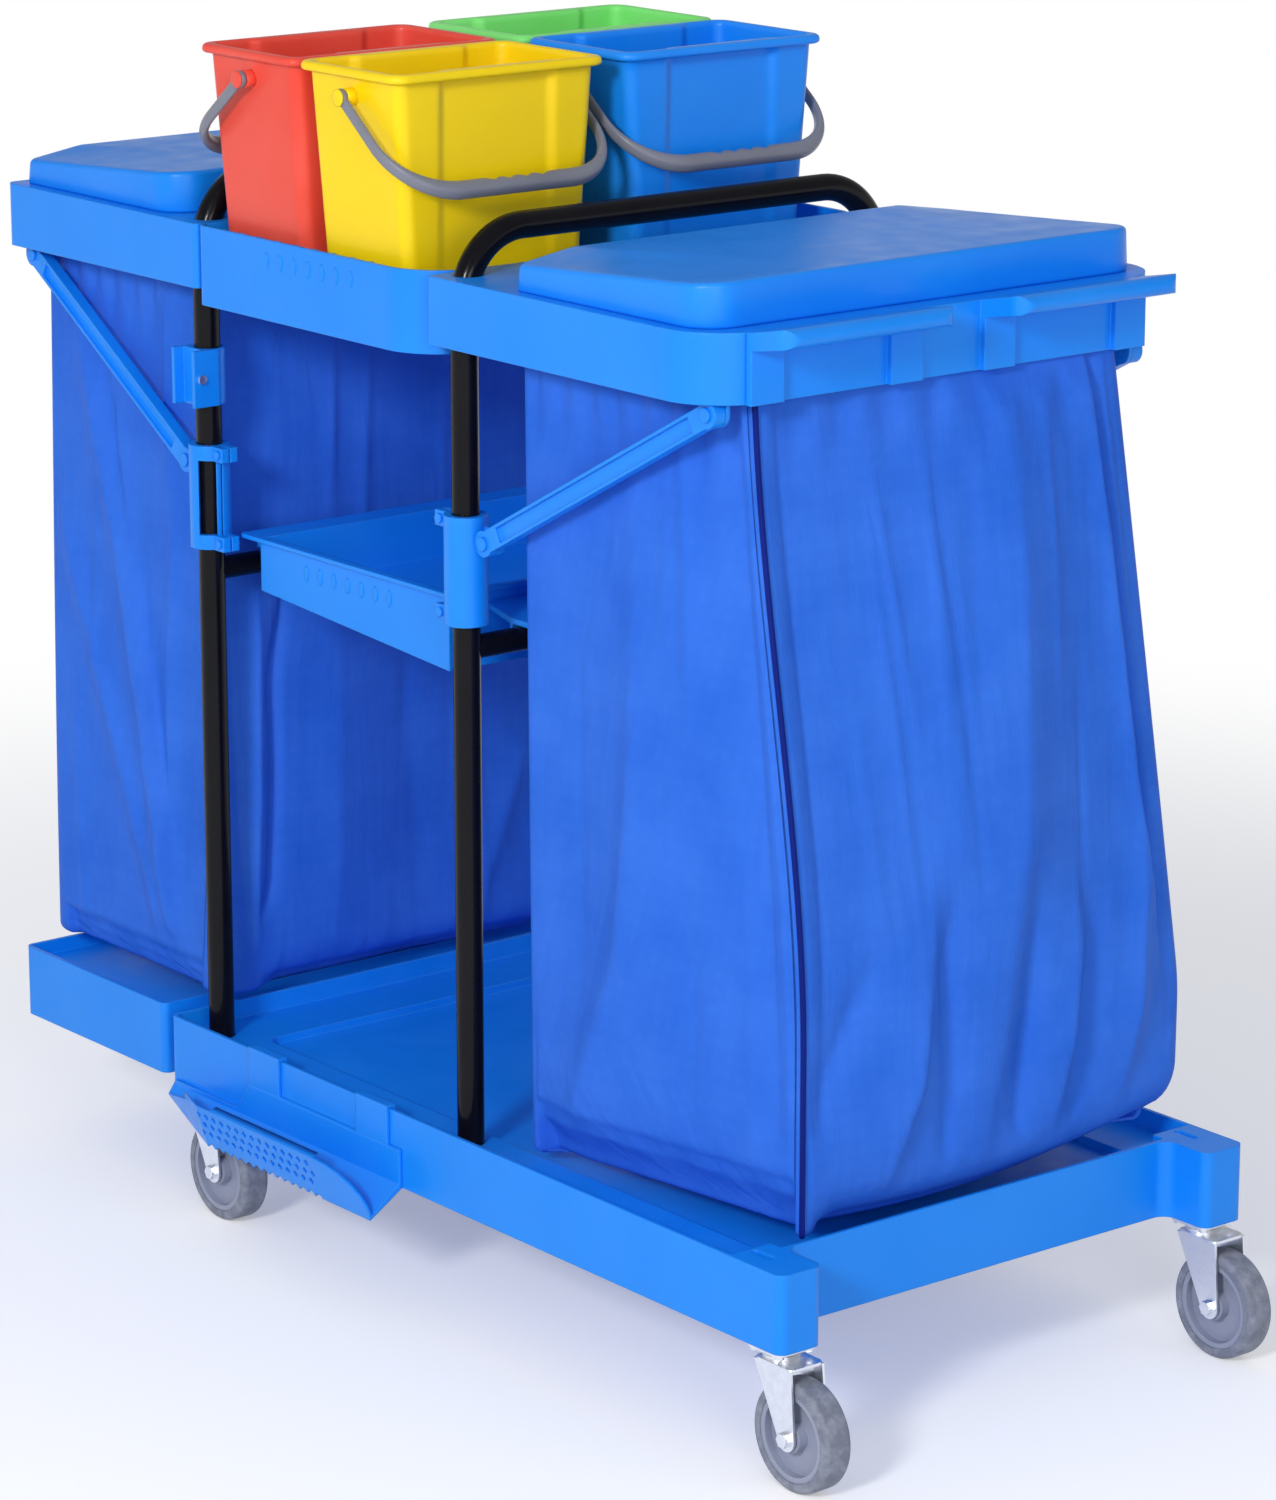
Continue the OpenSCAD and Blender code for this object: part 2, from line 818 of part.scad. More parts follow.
module lid(x0) {
    hw = lid_w / 2;
    tall = lid_thick + lid_thin;
    x = hinge_x(x0);
    color(blue) difference() {
        union() {
            difference() {
                intersection() {
                    across(-hw, hw) lid_profile(x0, 0);
                    slab(frame_top, frame_top + tall) plan(x0, x0 + lid_len, hw, deck_corner, lid_corner);
                }
                intersection() {
                    across(-hw, hw) lid_profile(x0, lid_wall);
                    slab(frame_top - cut, frame_top + tall)
                        plan(x0 + lid_wall, x0 + lid_len - lid_wall, hw - lid_wall,
                            deck_corner - lid_wall, lid_corner - lid_wall);
                }
            }
            for (s = sides) {
                rod_y(x, hinge_z, knuckle_r, s * hinge_y - knuckle_w / 2, s * hinge_y + knuckle_w / 2);
                translate([x, s * hinge_y - knuckle_w / 2, hinge_z])
                    cube([x0 - x + lid_wall / 2, knuckle_w, knuckle_r]);
            }
        }
        hinge_bore(x0, hinge_d / 2 + run);
    }
}

module front_lid() lid(front_lid_x);
module rear_lid() lid(rear_lid_x);

module hinge_pins(lid_x) {
    half = knuckle_w / 2 + ear_w + seat;
    color(zinc) for (s = sides)
        rod_y(hinge_x(lid_x), hinge_z, hinge_d / 2, s * hinge_y - half, s * hinge_y + half);
}

module front_hinge_pins() hinge_pins(front_lid_x);
module rear_hinge_pins() hinge_pins(rear_lid_x);

// Bags

// Share of the flare reached at a share of the way down: none at the top, most just above the bottom
function flare(s) = sin(flare_turn * s) * sqrt(s);

// One ring of a bag, a share s of the way down from its top, drawn in by inset
function bag_ring(x0, x1, out0, out1, r, s, inset) = ring(
    x0 - out0 * flare(s) + inset,
    x1 + out1 * flare(s) - inset,
    bag_hw + side_flare * flare(s) - inset - side_flare,
    r - inset,
    bag_top + (bag_bottom + inset - bag_top) * s,
    corner_steps
);

module bag(x0, x1, out0, out1, r) {
    shares = [for (k = [0:bag_rings - 1]) k / (bag_rings - 1)];
    outer = [for (k = [bag_rings - 1:-1:0]) bag_ring(x0, x1, out0, out1, r, shares[k], 0)];
    inner = [for (s = shares) bag_ring(x0, x1, out0, out1, r, s, bag_t)];
    color(bag_blue) loft(concat(outer, inner));
}

module front_bag() {
    bag(front_lid_x - mouth_margin, front_reach - bag_clear, mouth_margin, front_flare, front_bag_corner);
}

module rear_bag() {
    bag(-rear_reach + bag_clear, -post_x - 2 * tube_r - bag_clear, 0, rear_flare, rear_bag_corner);
}

// Braces and clamps

// A brace in the plane of the posts, from its clamp's ear up to the frame's lug, ribbed on its outside
module brace(sx, sy, pin_x) {
    x0 = sx * (post_x + clamp_pin_x);
    run_x = pin_x - x0;
    run_z = pin_z - clamp_pin_z;
    length = norm([run_x, run_z]);
    bar_hw = eye_r - brace_step;
    pocket_hw = bar_hw - brace_rib;
    y = sy > 0 ? brace_t / 2 - brace_pocket : -brace_t / 2 - cut;
    color(blue) translate([x0, sy * post_y, clamp_pin_z]) rotate([0, -atan2(run_z, run_x), 0]) difference() {
        across(-brace_t / 2, brace_t / 2) {
            for (x = [0, length]) translate([x, 0]) circle(eye_r);
            translate([0, -bar_hw]) square([length, 2 * bar_hw]);
        }
        for (x = [0, length]) rod_y(x, 0, pin_r + run, -brace_t, brace_t);
        translate([2 * eye_r, y, -pocket_hw])
            cube([length - 4 * eye_r, brace_pocket + cut, 2 * pocket_hw]);
    }
}

module front_near_brace() brace(1, near, front_pin_x);
module front_far_brace() brace(1, far, front_pin_x);
module rear_near_brace() brace(-1, near, rear_pin_x);
module rear_far_brace() brace(-1, far, rear_pin_x);

// A split collar round a post, with a bolted flange on one side and a brace's ear on the other
module clamp(sx, sy) {
    z0 = clamp_z - clamp_len / 2;
    ear_y = -sy * (brace_t / 2 + seat + lug_t / 2);
    color(blue) translate([sx * post_x, sy * post_y, 0]) mirror([sx > 0 ? 0 : 1, 0, 0]) difference() {
        union() {
            translate([0, 0, z0]) cylinder(r = clamp_r, h = clamp_len);
            for (z = [z0, z0 + clamp_len - flange_l])
                translate([-clamp_r - flange_l, -flange_t, z])
                    cube([clamp_r + flange_l, 2 * flange_t, flange_l]);
            translate([0, ear_y - lug_t / 2, clamp_pin_z - eye_r]) cube([clamp_pin_x, lug_t, 2 * eye_r]);
            rod_y(clamp_pin_x, clamp_pin_z, eye_r, ear_y - lug_t / 2, ear_y + lug_t / 2);
        }
        translate([0, 0, z0 - cut]) cylinder(r = tube_r + seat, h = clamp_len + 2 * cut);
        translate([-2 * clamp_r - flange_l, -slit / 2, z0 - cut])
            cube([2 * clamp_r + flange_l, slit, clamp_len + 2 * cut]);
        for (z = [z0 + flange_l / 2, z0 + clamp_len - flange_l / 2])
            rod_y(-clamp_r - flange_l / 2, z, bolt_r + run, -2 * flange_t, 2 * flange_t);
        rod_y(clamp_pin_x, clamp_pin_z, pin_r + run, ear_y - lug_t, ear_y + lug_t);
        if (sx < 0) clamp_window(sy, z0);
    }
}

// A window in the outside of a rear clamp, between its bolted ends
module clamp_window(sy, z0) {
    rotate([0, 0, 180 - sy * window_turn]) translate([0, -window_w / 2, z0 + flange_l])
        cube([clamp_r + cut, window_w, clamp_len - 2 * flange_l]);
}

module front_near_clamp() clamp(1, near);
module front_far_clamp() clamp(1, far);
module rear_near_clamp() clamp(-1, near);
module rear_far_clamp() clamp(-1, far);

// Bolts through the clamps' flanges, heads outwards
module clamp_bolts() {
    z0 = clamp_z - clamp_len / 2;
    x = post_x - clamp_r - flange_l / 2;
    color(blue) for (sx = sides, sy = sides, z = [z0 + flange_l / 2, z0 + clamp_len - flange_l / 2])
        translate([sx * x, sy * post_y, z]) rotate([sy > 0 ? -90 : 90, 0, 0]) {
            translate([0, 0, -flange_t - bolt_r]) cylinder(r = bolt_r, h = 2 * flange_t + bolt_r);
            translate([0, 0, flange_t]) cylinder(r = bolt_head, h = bolt_r);
            translate([0, 0, -flange_t - bolt_r]) cylinder(r = bolt_head, h = bolt_r, $fn = 6);
        }
}

// Headed pins through each brace's two eyes
module brace_pins() {
    inner = post_y - brace_t / 2 - seat - lug_t;
    shank = brace_t + seat + lug_t;
    color(blue) for (sx = sides, sy = sides)
        for (p = [[sx * (post_x + clamp_pin_x), clamp_pin_z], [sx > 0 ? front_pin_x : rear_pin_x, pin_z]])
            translate([p[0], sy * inner, p[1]]) rotate([sy > 0 ? -90 : 90, 0, 0]) {
                cylinder(r = pin_r, h = shank);
                translate([0, 0, shank]) cylinder(r = pin_r + bolt_r, h = bolt_r);
            }
}

// Tool clip on the rear near post: a collar with a channel that opens outwards
module tool_clip() {
    floor_y = tube_r + seat + jaw_wall;
    jaw_hw = clip_w / 2 - jaw_wall;
    color(blue) translate([-post_x, near * post_y, clip_z - clip_h / 2]) difference() {
        union() {
            cylinder(r = clip_r, h = clip_h);
            translate([-clip_w / 2, -clip_out, 0]) cube([clip_w, clip_out, clip_h]);
        }
        translate([0, 0, -cut]) cylinder(r = tube_r + seat, h = clip_h + 2 * cut);
        translate([-jaw_hw, -clip_out - cut, -cut])
            cube([2 * jaw_hw, clip_out + cut - floor_y, clip_h + 2 * cut]);
    }
}

module clip_screw() {
    y = near * (post_y + (clip_out + tube_r) / 2);
    color(zinc) translate([-post_x + clip_w / 2, y, clip_z]) rotate([0, 90, 0])
        cylinder(r = bolt_head, h = screw_head);
}

// Buckets

// A bucket's outline of half-length hl and half-width hw at height z, its long sides sunk by dip
function tub_ring(hl, hw, r, z, dip) = let (
    p0 = panel_w / 2,
    p1 = p0 + panel_step
) [
    for (p = concat(
        quarter(hl - r, hw - r, r, 0, corner_steps),
        quarter(-hl + r, hw - r, r, 90, corner_steps),
        [[-hl, p1], [-hl + dip, p0], [-hl + dip, -p0], [-hl, -p1]],
        quarter(-hl + r, -hw + r, r, 180, corner_steps),
        quarter(hl - r, -hw + r, r, 270, corner_steps),
        [[hl, -p1], [hl - dip, -p0], [hl - dip, p0], [hl, p1]]
    )) [p[0], p[1], z]
];

// Where a bucket stands in the tray
module at_bucket(sx, sy) {
    translate([sx * bucket_x - bucket_back, sy * bucket_y - bucket_side, 0]) children();
}

// A tapered tub with an outward lip, sunk panels and a stud on each side for its bail
module bucket(sx, sy, tone) {
    top = bucket_z + bucket_h;
    rim_l = bucket_l / 2;
    rim_w = bucket_w / 2;
    wall_l = rim_l - lip_out;
    wall_w = rim_w - lip_out;
    foot_l = base_l / 2;
    foot_w = base_w / 2;
    corner = bucket_corner - lip_out / 4;
    t = bucket_wall;
    color(tone) at_bucket(sx, sy) {
        loft([
            tub_ring(foot_l, foot_w, corner, bucket_z, 0),
            tub_ring(wall_l, wall_w, corner, top - lip_h, panel_dip),
            tub_ring(rim_l, rim_w, bucket_corner, top - lip_h, 0),
            tub_ring(rim_l, rim_w, bucket_corner, top, 0),
            tub_ring(wall_l - t, wall_w - t, corner - t, top, panel_dip),
            tub_ring(foot_l - t, foot_w - t, corner - t, bucket_z + t, 0),
        ]);
        for (s = sides) bucket_stud(s, wall_w);
    }
}

module bucket_stud(s, wall_w) {
    y0 = wall_w - bucket_wall / 2 - lip_out / 4;
    translate([0, 0, pivot_z]) rotate([s > 0 ? -90 : 90, 0, 0]) {
        translate([0, 0, y0]) cylinder(r = stud_head, h = bail_in - bail_gap / 2 - y0);
        translate([0, 0, y0]) cylinder(r = stud_r, h = stud_out - y0);
        translate([0, 0, stud_out]) cylinder(r = stud_head, h = stud_head_t);
    }
}

module red_bucket() bucket(-1, near, "#f0483a");
module yellow_bucket() bucket(1, near, "#fbd716");
module green_bucket() bucket(-1, far, "#5fd45a");
module blue_bucket() bucket(1, far, "#1f86f5");

// Half of a bail's centre line in its own plane, with its thickness and width there: pivot to grip
function bail_half(s) = let (
    corner_x = bail_reach - bail_bend,
    corner_y = bail_in + bail_t / 2 - bail_bend
) concat(
    [[0, s * (corner_y + bail_bend), 0, 0]],
    [for (i = [0:bail_steps]) let (a = 90 * i / bail_steps)
        [corner_x + bail_bend * sin(a), s * (corner_y + bail_bend * cos(a)), a, pow(sin(a), 2)]]
);

// One ring of a bail about a point of its centre line: x, y, the turn there and the share of the grip's size
function bail_ring(p, s) = let (
    half_t = (bail_t + (grip_t - bail_t) * p[3]) / 2,
    half_w = (bail_w + (grip_w - bail_w) * p[3]) / 2
) [
    for (i = [0:bail_sides - 1]) let (
        a = 360 * i / bail_sides,
        u = half_t * sign(cos(a)) * pow(abs(cos(a)), bail_square),
        v = half_w * sign(sin(a)) * pow(abs(sin(a)), bail_square)
    ) [p[0] + u * sin(p[2]), p[1] + s * u * cos(p[2]), v]
];

// A bail lying in a plane, pivots on the Y axis and its grip at x = bail_reach
module bail_flat() {
    groove_x = bail_reach - grip_t / 2 - groove_r + groove_deep;
    far_half = [for (p = bail_half(1)) bail_ring(p, 1)];
    near_half = [for (p = bail_half(-1)) bail_ring(p, -1)];
    difference() {
        union() {
            loft(concat(far_half, [for (i = [len(near_half) - 1:-1:0]) near_half[i]]));
            for (y = [-bail_hw, bail_in]) rod_y(0, 0, bail_w / 2 + bail_t / 2, y, y + bail_t);
        }
        for (y = [-bail_hw, bail_in]) rod_y(0, 0, stud_r + run, y - cut, y + bail_t + cut);
        for (i = [0:groove_count - 1])
            translate([groove_x, (i - (groove_count - 1) / 2) * groove_pitch, -bail_w])
                cylinder(r = groove_r, h = 2 * bail_w);
    }
}

// A bail as it hangs outwards from its bucket's studs
module bail(sx, sy) {
    color(grey) at_bucket(sx, sy) translate([0, 0, pivot_z]) mirror([sx > 0 ? 0 : 1, 0, 0])
        rotate([0, bail_hang, 0]) bail_flat();
}

module red_bail() bail(-1, near);
module yellow_bail() bail(1, near);
module green_bail() bail(-1, far);
module blue_bail() bail(1, far);

// Casters

// The fixed plates under the deck with the upper half of the swivel race
module caster_plates() {
    color(zinc) at_casters() difference() {
        union() {
            slab(deck_z - plate_t, deck_z)
                plan(-plate_l / 2, plate_l / 2, plate_l / 2, plate_corner, plate_corner);
            slab(deck_z - 2 * plate_t, deck_z - plate_t + cut) circle(race_r);
        }
        translate([0, 0, deck_z - 3 * plate_t]) cylinder(r = king_r + run, h = 3 * plate_t + cut);
        for (x = sides, y = sides)
            translate([x * caster_bolt_in, y * caster_bolt_in, deck_z - 2 * plate_t - cut])
                cylinder(r = caster_bolt_r + run, h = 2 * plate_t + 2 * cut);
    }
}

module at_casters() {
    for (x = [front_caster_x, rear_caster_x], y = sides) translate([x, y * caster_y, 0]) children();
}

// Bolt heads under the plates
module caster_bolts() {
    color(zinc) at_casters() for (x = sides, y = sides)
        translate([x * caster_bolt_in, y * caster_bolt_in, 0]) {
            translate([0, 0, deck_z - plate_t]) cylinder(r = caster_bolt_r, h = plate_t);
            translate([0, 0, deck_z - plate_t - caster_bolt_r])
                cylinder(r = bolt_head, h = caster_bolt_r, $fn = 6);
        }
}

module caster_kingpins() {
    color(zinc) at_casters() {
        translate([0, 0, crown_z - seat]) cylinder(r = king_r, h = deck_z - crown_z + seat);
        translate([0, 0, crown_z - seat - king_head_t]) cylinder(r = king_head, h = king_head_t);
    }
}

// A pressed fork: crown, lower race and two legs that taper to the axle
module fork(cx, sy) {
    leg_top = crown_z + crown_t;
    leg_back = race_r - fork_t;
    leg_front = trail + plate_corner;
    color(zinc) translate([cx, sy * caster_y, 0]) difference() {
        union() {
            slab(crown_z, leg_top) plan(-leg_back, leg_front, fork_in + fork_t, plate_corner, plate_corner);
            slab(crown_z, deck_z - 2 * plate_t - seat) circle(race_r);
            for (s = sides) across(s > 0 ? fork_in : -fork_in - fork_t, s > 0 ? fork_in + fork_t : -fork_in) {
                polygon([
                    [-leg_back, crown_z + crown_t / 2],
                    [leg_front, crown_z + crown_t / 2],
                    [trail + fork_eye, wheel_r],
                    [trail - fork_eye, wheel_r],
                ]);
                translate([trail, wheel_r]) circle(fork_eye);
            }
        }
        translate([0, 0, crown_z - cut]) cylinder(r = king_r + run, h = deck_z - crown_z);
        rod_y(trail, wheel_r, axle_r + run, -2 * fork_in, 2 * fork_in);
    }
}

module axle(cx, sy) {
    reach = fork_in + fork_t;
    color(zinc) translate([cx + trail, sy * caster_y, wheel_r]) {
        rod_y(0, 0, axle_r, -reach - nut_t, reach + nut_t);
        for (y = [-reach, reach + nut_t])
            translate([0, y, 0]) rotate([90, 0, 0]) cylinder(r = nut_r, h = nut_t, $fn = 6);
    }
}

// A wheel's hub: boss, thin web and rim, turned about the axle
module hub(cx, sy) {
    color(hub_grey) translate([cx + trail, sy * caster_y, wheel_r]) rotate([90, 0, 0]) rotate_extrude() {
        translate([axle_r + run, -hub_w / 2]) square([boss_r - axle_r - run, hub_w]);
        translate([axle_r + run, -web_t / 2]) square([hub_r - axle_r - run, web_t]);
        translate([hub_r - rim_t, -tyre_w / 2 + cut]) square([rim_t, tyre_w - 2 * cut]);
    }
}

module tyre(cx, sy) {
    color(rubber) translate([cx + trail, sy * caster_y, wheel_r]) rotate([90, 0, 0]) rotate_extrude() {
        translate([hub_r + run, -tyre_w / 2]) square([tyre_t - run - shoulder, tyre_w]);
        translate([hub_r + run, -tyre_w / 2 + shoulder]) square([tyre_t - run, tyre_w - 2 * shoulder]);
        for (s = sides) translate([wheel_r - shoulder, s * (tyre_w / 2 - shoulder)]) circle(shoulder);
    }
}

module front_near_fork() fork(front_caster_x, near);
module front_near_axle() axle(front_caster_x, near);
module front_near_hub() hub(front_caster_x, near);
module front_near_tyre() tyre(front_caster_x, near);
module front_far_fork() fork(front_caster_x, far);
module front_far_axle() axle(front_caster_x, far);
module front_far_hub() hub(front_caster_x, far);
module front_far_tyre() tyre(front_caster_x, far);
module rear_near_fork() fork(rear_caster_x, near);
module rear_near_axle() axle(rear_caster_x, near);
module rear_near_hub() hub(rear_caster_x, near);
module rear_near_tyre() tyre(rear_caster_x, near);
module rear_far_fork() fork(rear_caster_x, far);
module rear_far_axle() axle(rear_caster_x, far);
module rear_far_hub() hub(rear_caster_x, far);
module rear_far_tyre() tyre(rear_caster_x, far);

// Mop tray: a trough along the near side of the deck

// The trough's outline at x, at a share of its full size and with its back up to back,
// drawn in by inset with its top raised by over
function mop_ring(x, share, back, inset, over) = let (
    back_y = -deck_hw - seat - inset,
    short = 1 - share,
    floor_t = mop_slant * inset
) [
    [x, -deck_hw - mop_out * mop_low * share + inset / 2, mop_z + short * mop_rise + floor_t],
    [x, back_y, deck_z + floor_t],
    [x, back_y, back + over],
    [x, -deck_hw - mop_out * share + inset, mop_z + mop_front_h - short * mop_tip_drop + over],
];

// A hook seen from its end: a strap up the deck's wall, over the rim and down inside
module mop_hook() {
    y0 = -deck_hw - seat - mop_hook_t;
    y1 = -deck_hw + deck_wall + seat + mop_hook_t;
    top = deck_top + seat + mop_hook_t;
    difference() {
        translate([y0, mop_back - mop_hook_l]) square([y1 - y0, top - mop_back + mop_hook_l]);
        translate([y0 + mop_hook_t, 0]) square([y1 - y0 - 2 * mop_hook_t, deck_top + seat]);
        translate([y0 + mop_hook_t, 0]) square([y1 - y0, deck_top - mop_hook_in]);
    }
}

// What rounds the front wall down to the trough's open right end
module mop_spout() {
    front_y = -deck_hw - mop_out - cut;
    low_y = -deck_hw - mop_out * mop_low;
    rise = mop_front_h - mop_lip_h;
    curve = [for (i = [0:mop_spout_steps]) let (a = 90 * i / mop_spout_steps)
        [mop_cut_x + (mop_spout_l + cut) * sin(a), mop_z + mop_lip_h + rise * cos(a)]];
    across(front_y, low_y) polygon(concat(curve, [[mop_x1 + 2 * cut, mop_back], [mop_cut_x, mop_back]]));
}

// Staggered rows of diamond holes through the front wall, and notches along its lower edge
module mop_mesh(x0, x1) {
    pitch = (x1 - x0) / mop_holes;
    front_y = -deck_hw - mop_out - cut;
    low_y = -deck_hw - mop_out * mop_low;
    for (row = [1:mop_rows], i = [0.5:mop_holes - 0.5])
        rod_y(x0 + (i - (row % 2) / 2) * pitch, mop_z + mop_front_h - row * mop_row, mop_hole,
            front_y, low_y + mop_wall, $fn = 4);
    for (i = [0.5:mop_holes - 0.5])
        rod_y(x0 + i * pitch, mop_z - mop_notch_r / 4, mop_notch_r, front_y, low_y + mop_notch_in);
}

// The trough grows from a closed tip under the deck's edge to an open end under its second hook
module mop_tray() {
    grip_x = mop_hook_x - mop_hook_w / 2;
    full = mop_x0 + mop_taper * (grip_x - mop_x0);
    color(blue) {
        difference() {
            loft([
                mop_ring(mop_x0, mop_tip, mop_back_low, 0, 0),
                mop_ring(full, 1, mop_back_low, 0, 0),
                mop_ring(grip_x, 1, mop_back, 0, 0),
                mop_ring(mop_x1, 1, mop_back, 0, 0),
            ]);
            loft([
                mop_ring(mop_x0 + mop_wall, mop_tip_in, mop_back_low, mop_wall, cut),
                mop_ring(full, 1, mop_back_low, mop_wall, cut),
                mop_ring(grip_x, 1, mop_back, mop_wall, cut),
                mop_ring(mop_x1 + cut, 1, mop_back, mop_wall, cut),
            ]);
            mop_spout();
            mop_mesh(full, mop_cut_x);
        }
        for (x = [mop_hook_x, mop_hook_x + mop_hook_span])
            along(x - mop_hook_w / 2, x + mop_hook_w / 2) mop_hook();
    }
}

// The part, each piece moved to the shared origin
module place() translate([-mid_x, -mid_y, 0]) children();

place() base_deck();
place() rear_platform();
place() platform_screws();
place() front_arch();
place() rear_arch();
place() top_tray();
place() mid_tray();
place() front_bag_frame();
place() rear_bag_frame();
place() front_lid();
place() rear_lid();
place() front_hinge_pins();
place() rear_hinge_pins();
place() front_bag();
place() rear_bag();
place() front_near_brace();
place() front_far_brace();
place() rear_near_brace();
place() rear_far_brace();
place() front_near_clamp();
place() front_far_clamp();
place() rear_near_clamp();
place() rear_far_clamp();
place() clamp_bolts();
place() brace_pins();
place() tool_clip();
place() clip_screw();
place() red_bucket();
place() yellow_bucket();
place() green_bucket();
place() blue_bucket();
place() red_bail();
place() yellow_bail();
place() green_bail();
place() blue_bail();
place() mop_tray();
place() caster_plates();
place() caster_bolts();
place() caster_kingpins();
place() front_near_fork();
place() front_near_axle();
place() front_near_hub();
place() front_near_tyre();
place() front_far_fork();
place() front_far_axle();
place() front_far_hub();
place() front_far_tyre();
place() rear_near_fork();
place() rear_near_axle();
place() rear_near_hub();
place() rear_near_tyre();
place() rear_far_fork();
place() rear_far_axle();
place() rear_far_hub();
place() rear_far_tyre();
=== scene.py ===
"""Looks of a janitor cart: moulded plastic, hanging cloth bags, enamelled arches and plated casters."""
import json
import math

import bmesh
import bpy
import numpy as np
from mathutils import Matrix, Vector


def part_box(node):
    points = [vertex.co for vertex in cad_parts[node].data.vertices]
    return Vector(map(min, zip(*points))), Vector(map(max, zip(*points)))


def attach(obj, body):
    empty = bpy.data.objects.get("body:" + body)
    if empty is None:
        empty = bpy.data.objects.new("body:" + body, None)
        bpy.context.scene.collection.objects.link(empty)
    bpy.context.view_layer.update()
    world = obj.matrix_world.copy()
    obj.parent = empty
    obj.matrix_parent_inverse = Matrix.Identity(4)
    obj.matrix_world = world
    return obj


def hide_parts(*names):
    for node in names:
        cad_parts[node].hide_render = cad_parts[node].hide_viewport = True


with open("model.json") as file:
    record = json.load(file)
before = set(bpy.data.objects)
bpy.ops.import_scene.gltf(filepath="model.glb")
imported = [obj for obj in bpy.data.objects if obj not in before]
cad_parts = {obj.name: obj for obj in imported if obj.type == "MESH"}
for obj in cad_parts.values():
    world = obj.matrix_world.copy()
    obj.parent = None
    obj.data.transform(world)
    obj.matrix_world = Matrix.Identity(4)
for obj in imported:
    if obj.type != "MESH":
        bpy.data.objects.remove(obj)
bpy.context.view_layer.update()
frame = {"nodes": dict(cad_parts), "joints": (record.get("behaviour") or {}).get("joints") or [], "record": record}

# The cart's sizes are in millimetres, Blender's in metres; x points to the push grips, y to the far side
MM = 0.001
NEAR, FAR = -1, 1


# Shared helpers

def linear(code):
    """A colour written as an sRGB hex value, as linear red, green, blue and alpha."""
    srgb = np.array([int(code[i:i + 2], 16) for i in (0, 2, 4)]) / 255
    light = np.where(srgb <= 0.04045, srgb / 12.92, ((srgb + 0.055) / 1.055) ** 2.4)
    return (*light.tolist(), 1.0)


def add(tree, kind, inputs=None, **settings):
    """Add one shader node: settings go to its properties, inputs to its sockets as values or as links."""
    node = tree.nodes.new(kind)
    for name, value in settings.items():
        setattr(node, name, value)
    for name, value in (inputs or {}).items():
        if isinstance(value, bpy.types.NodeSocket):
            tree.links.new(value, node.inputs[name])
        else:
            node.inputs[name].default_value = value
    return node


def blank(name):
    """A new material with only its output node, and that node's tree."""
    made = bpy.data.materials.new(name)
    made.use_nodes = True
    made.node_tree.nodes.clear()
    return made, made.node_tree


def smooth(x):
    """A soft step: 0 below 0, 1 above 1 and level at both ends."""
    x = np.clip(x, 0, 1)
    return x * x * (3 - 2 * x)


def grid_faces(rows, cols, first):
    """Quads between neighbouring points of a grid, each row closed round; first is the number of point 0."""
    r, c = np.meshgrid(np.arange(rows - 1), np.arange(cols), indexing="ij")
    after = (c + 1) % cols
    quads = np.stack([r * cols + c, r * cols + after, (r + 1) * cols + after, (r + 1) * cols + c], axis=-1)
    return first + quads.reshape(-1, 4)


def piece(name, grids, material, uv=None):
    """A mesh of one or more point grids in millimetres, each row of a grid closed round on itself.

    A row drawn in to one point closes a grid's end. Doubles are merged and the faces turned outwards."""
    points, faces, first = [], [], 0
    for grid in grids:
        rows, cols = grid.shape[:2]
        points.append(grid.reshape(-1, 3) * MM)
        faces.append(grid_faces(rows, cols, first))
        first += rows * cols
    points, faces = np.concatenate(points), np.concatenate(faces)
    mesh = bpy.data.meshes.new(name)
    mesh.from_pydata(points.tolist(), [], faces.tolist())
    if uv is not None:
        layer = mesh.uv_layers.new(name="cloth")
        corner = np.empty(len(mesh.loops), dtype=np.int32)
        mesh.loops.foreach_get("vertex_index", corner)
        layer.data.foreach_set("uv", uv.reshape(-1, 2)[corner].ravel())
    work = bmesh.new()
    work.from_mesh(mesh)
    bmesh.ops.remove_doubles(work, verts=work.verts, dist=0.005 * MM)
    bmesh.ops.recalc_face_normals(work, faces=work.faces)
    work.to_mesh(mesh)
    work.free()
    made = bpy.data.objects.new(name, mesh)
    bpy.context.scene.collection.objects.link(made)
    mesh.shade_smooth()
    mesh.materials.append(material)
    return made


def stands_for(made, node):
    """The piece takes the place and the body of a CAD node, which is hidden."""
    bodies = frame["record"]["behaviour"]["bodies"]
    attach(made, next(body for body, nodes in bodies.items() if node in nodes))
    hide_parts(node)


def millimetres(node):
    """A CAD node's lowest and highest corner in millimetres."""
    return [np.array(corner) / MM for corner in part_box(node)]


def tube(path, radius, sides):
    """A round tube: a circle carried along the points of a path, square to it, with its ends drawn in."""
    path = np.asarray(path, float)
    along = np.gradient(path, axis=0)
    along /= np.linalg.norm(along, axis=1, keepdims=True)
    # A direction that the path doesn't follow: upwards for a level path, sideways for an upright one
    aslant = (0.31, 0.17, 0.93) if abs(along[:, 2]).mean() < 0.8 else (0.9, 0.4, 0.1)
    side = np.cross(along, aslant)
    side /= np.linalg.norm(side, axis=1, keepdims=True)
    up = np.cross(side, along)
    turn = np.linspace(0, 2 * np.pi, sides, endpoint=False)
    reach = np.broadcast_to(np.asarray(radius, float), (len(path),))[:, None, None]
    ring = np.cos(turn)[None, :, None] * side[:, None] + np.sin(turn)[None, :, None] * up[:, None]
    body = path[:, None] + reach * ring
    ends = [np.repeat(path[i][None, None], sides, axis=1) for i in (0, -1)]
    return np.concatenate([ends[0], body, ends[1]])


# Materials

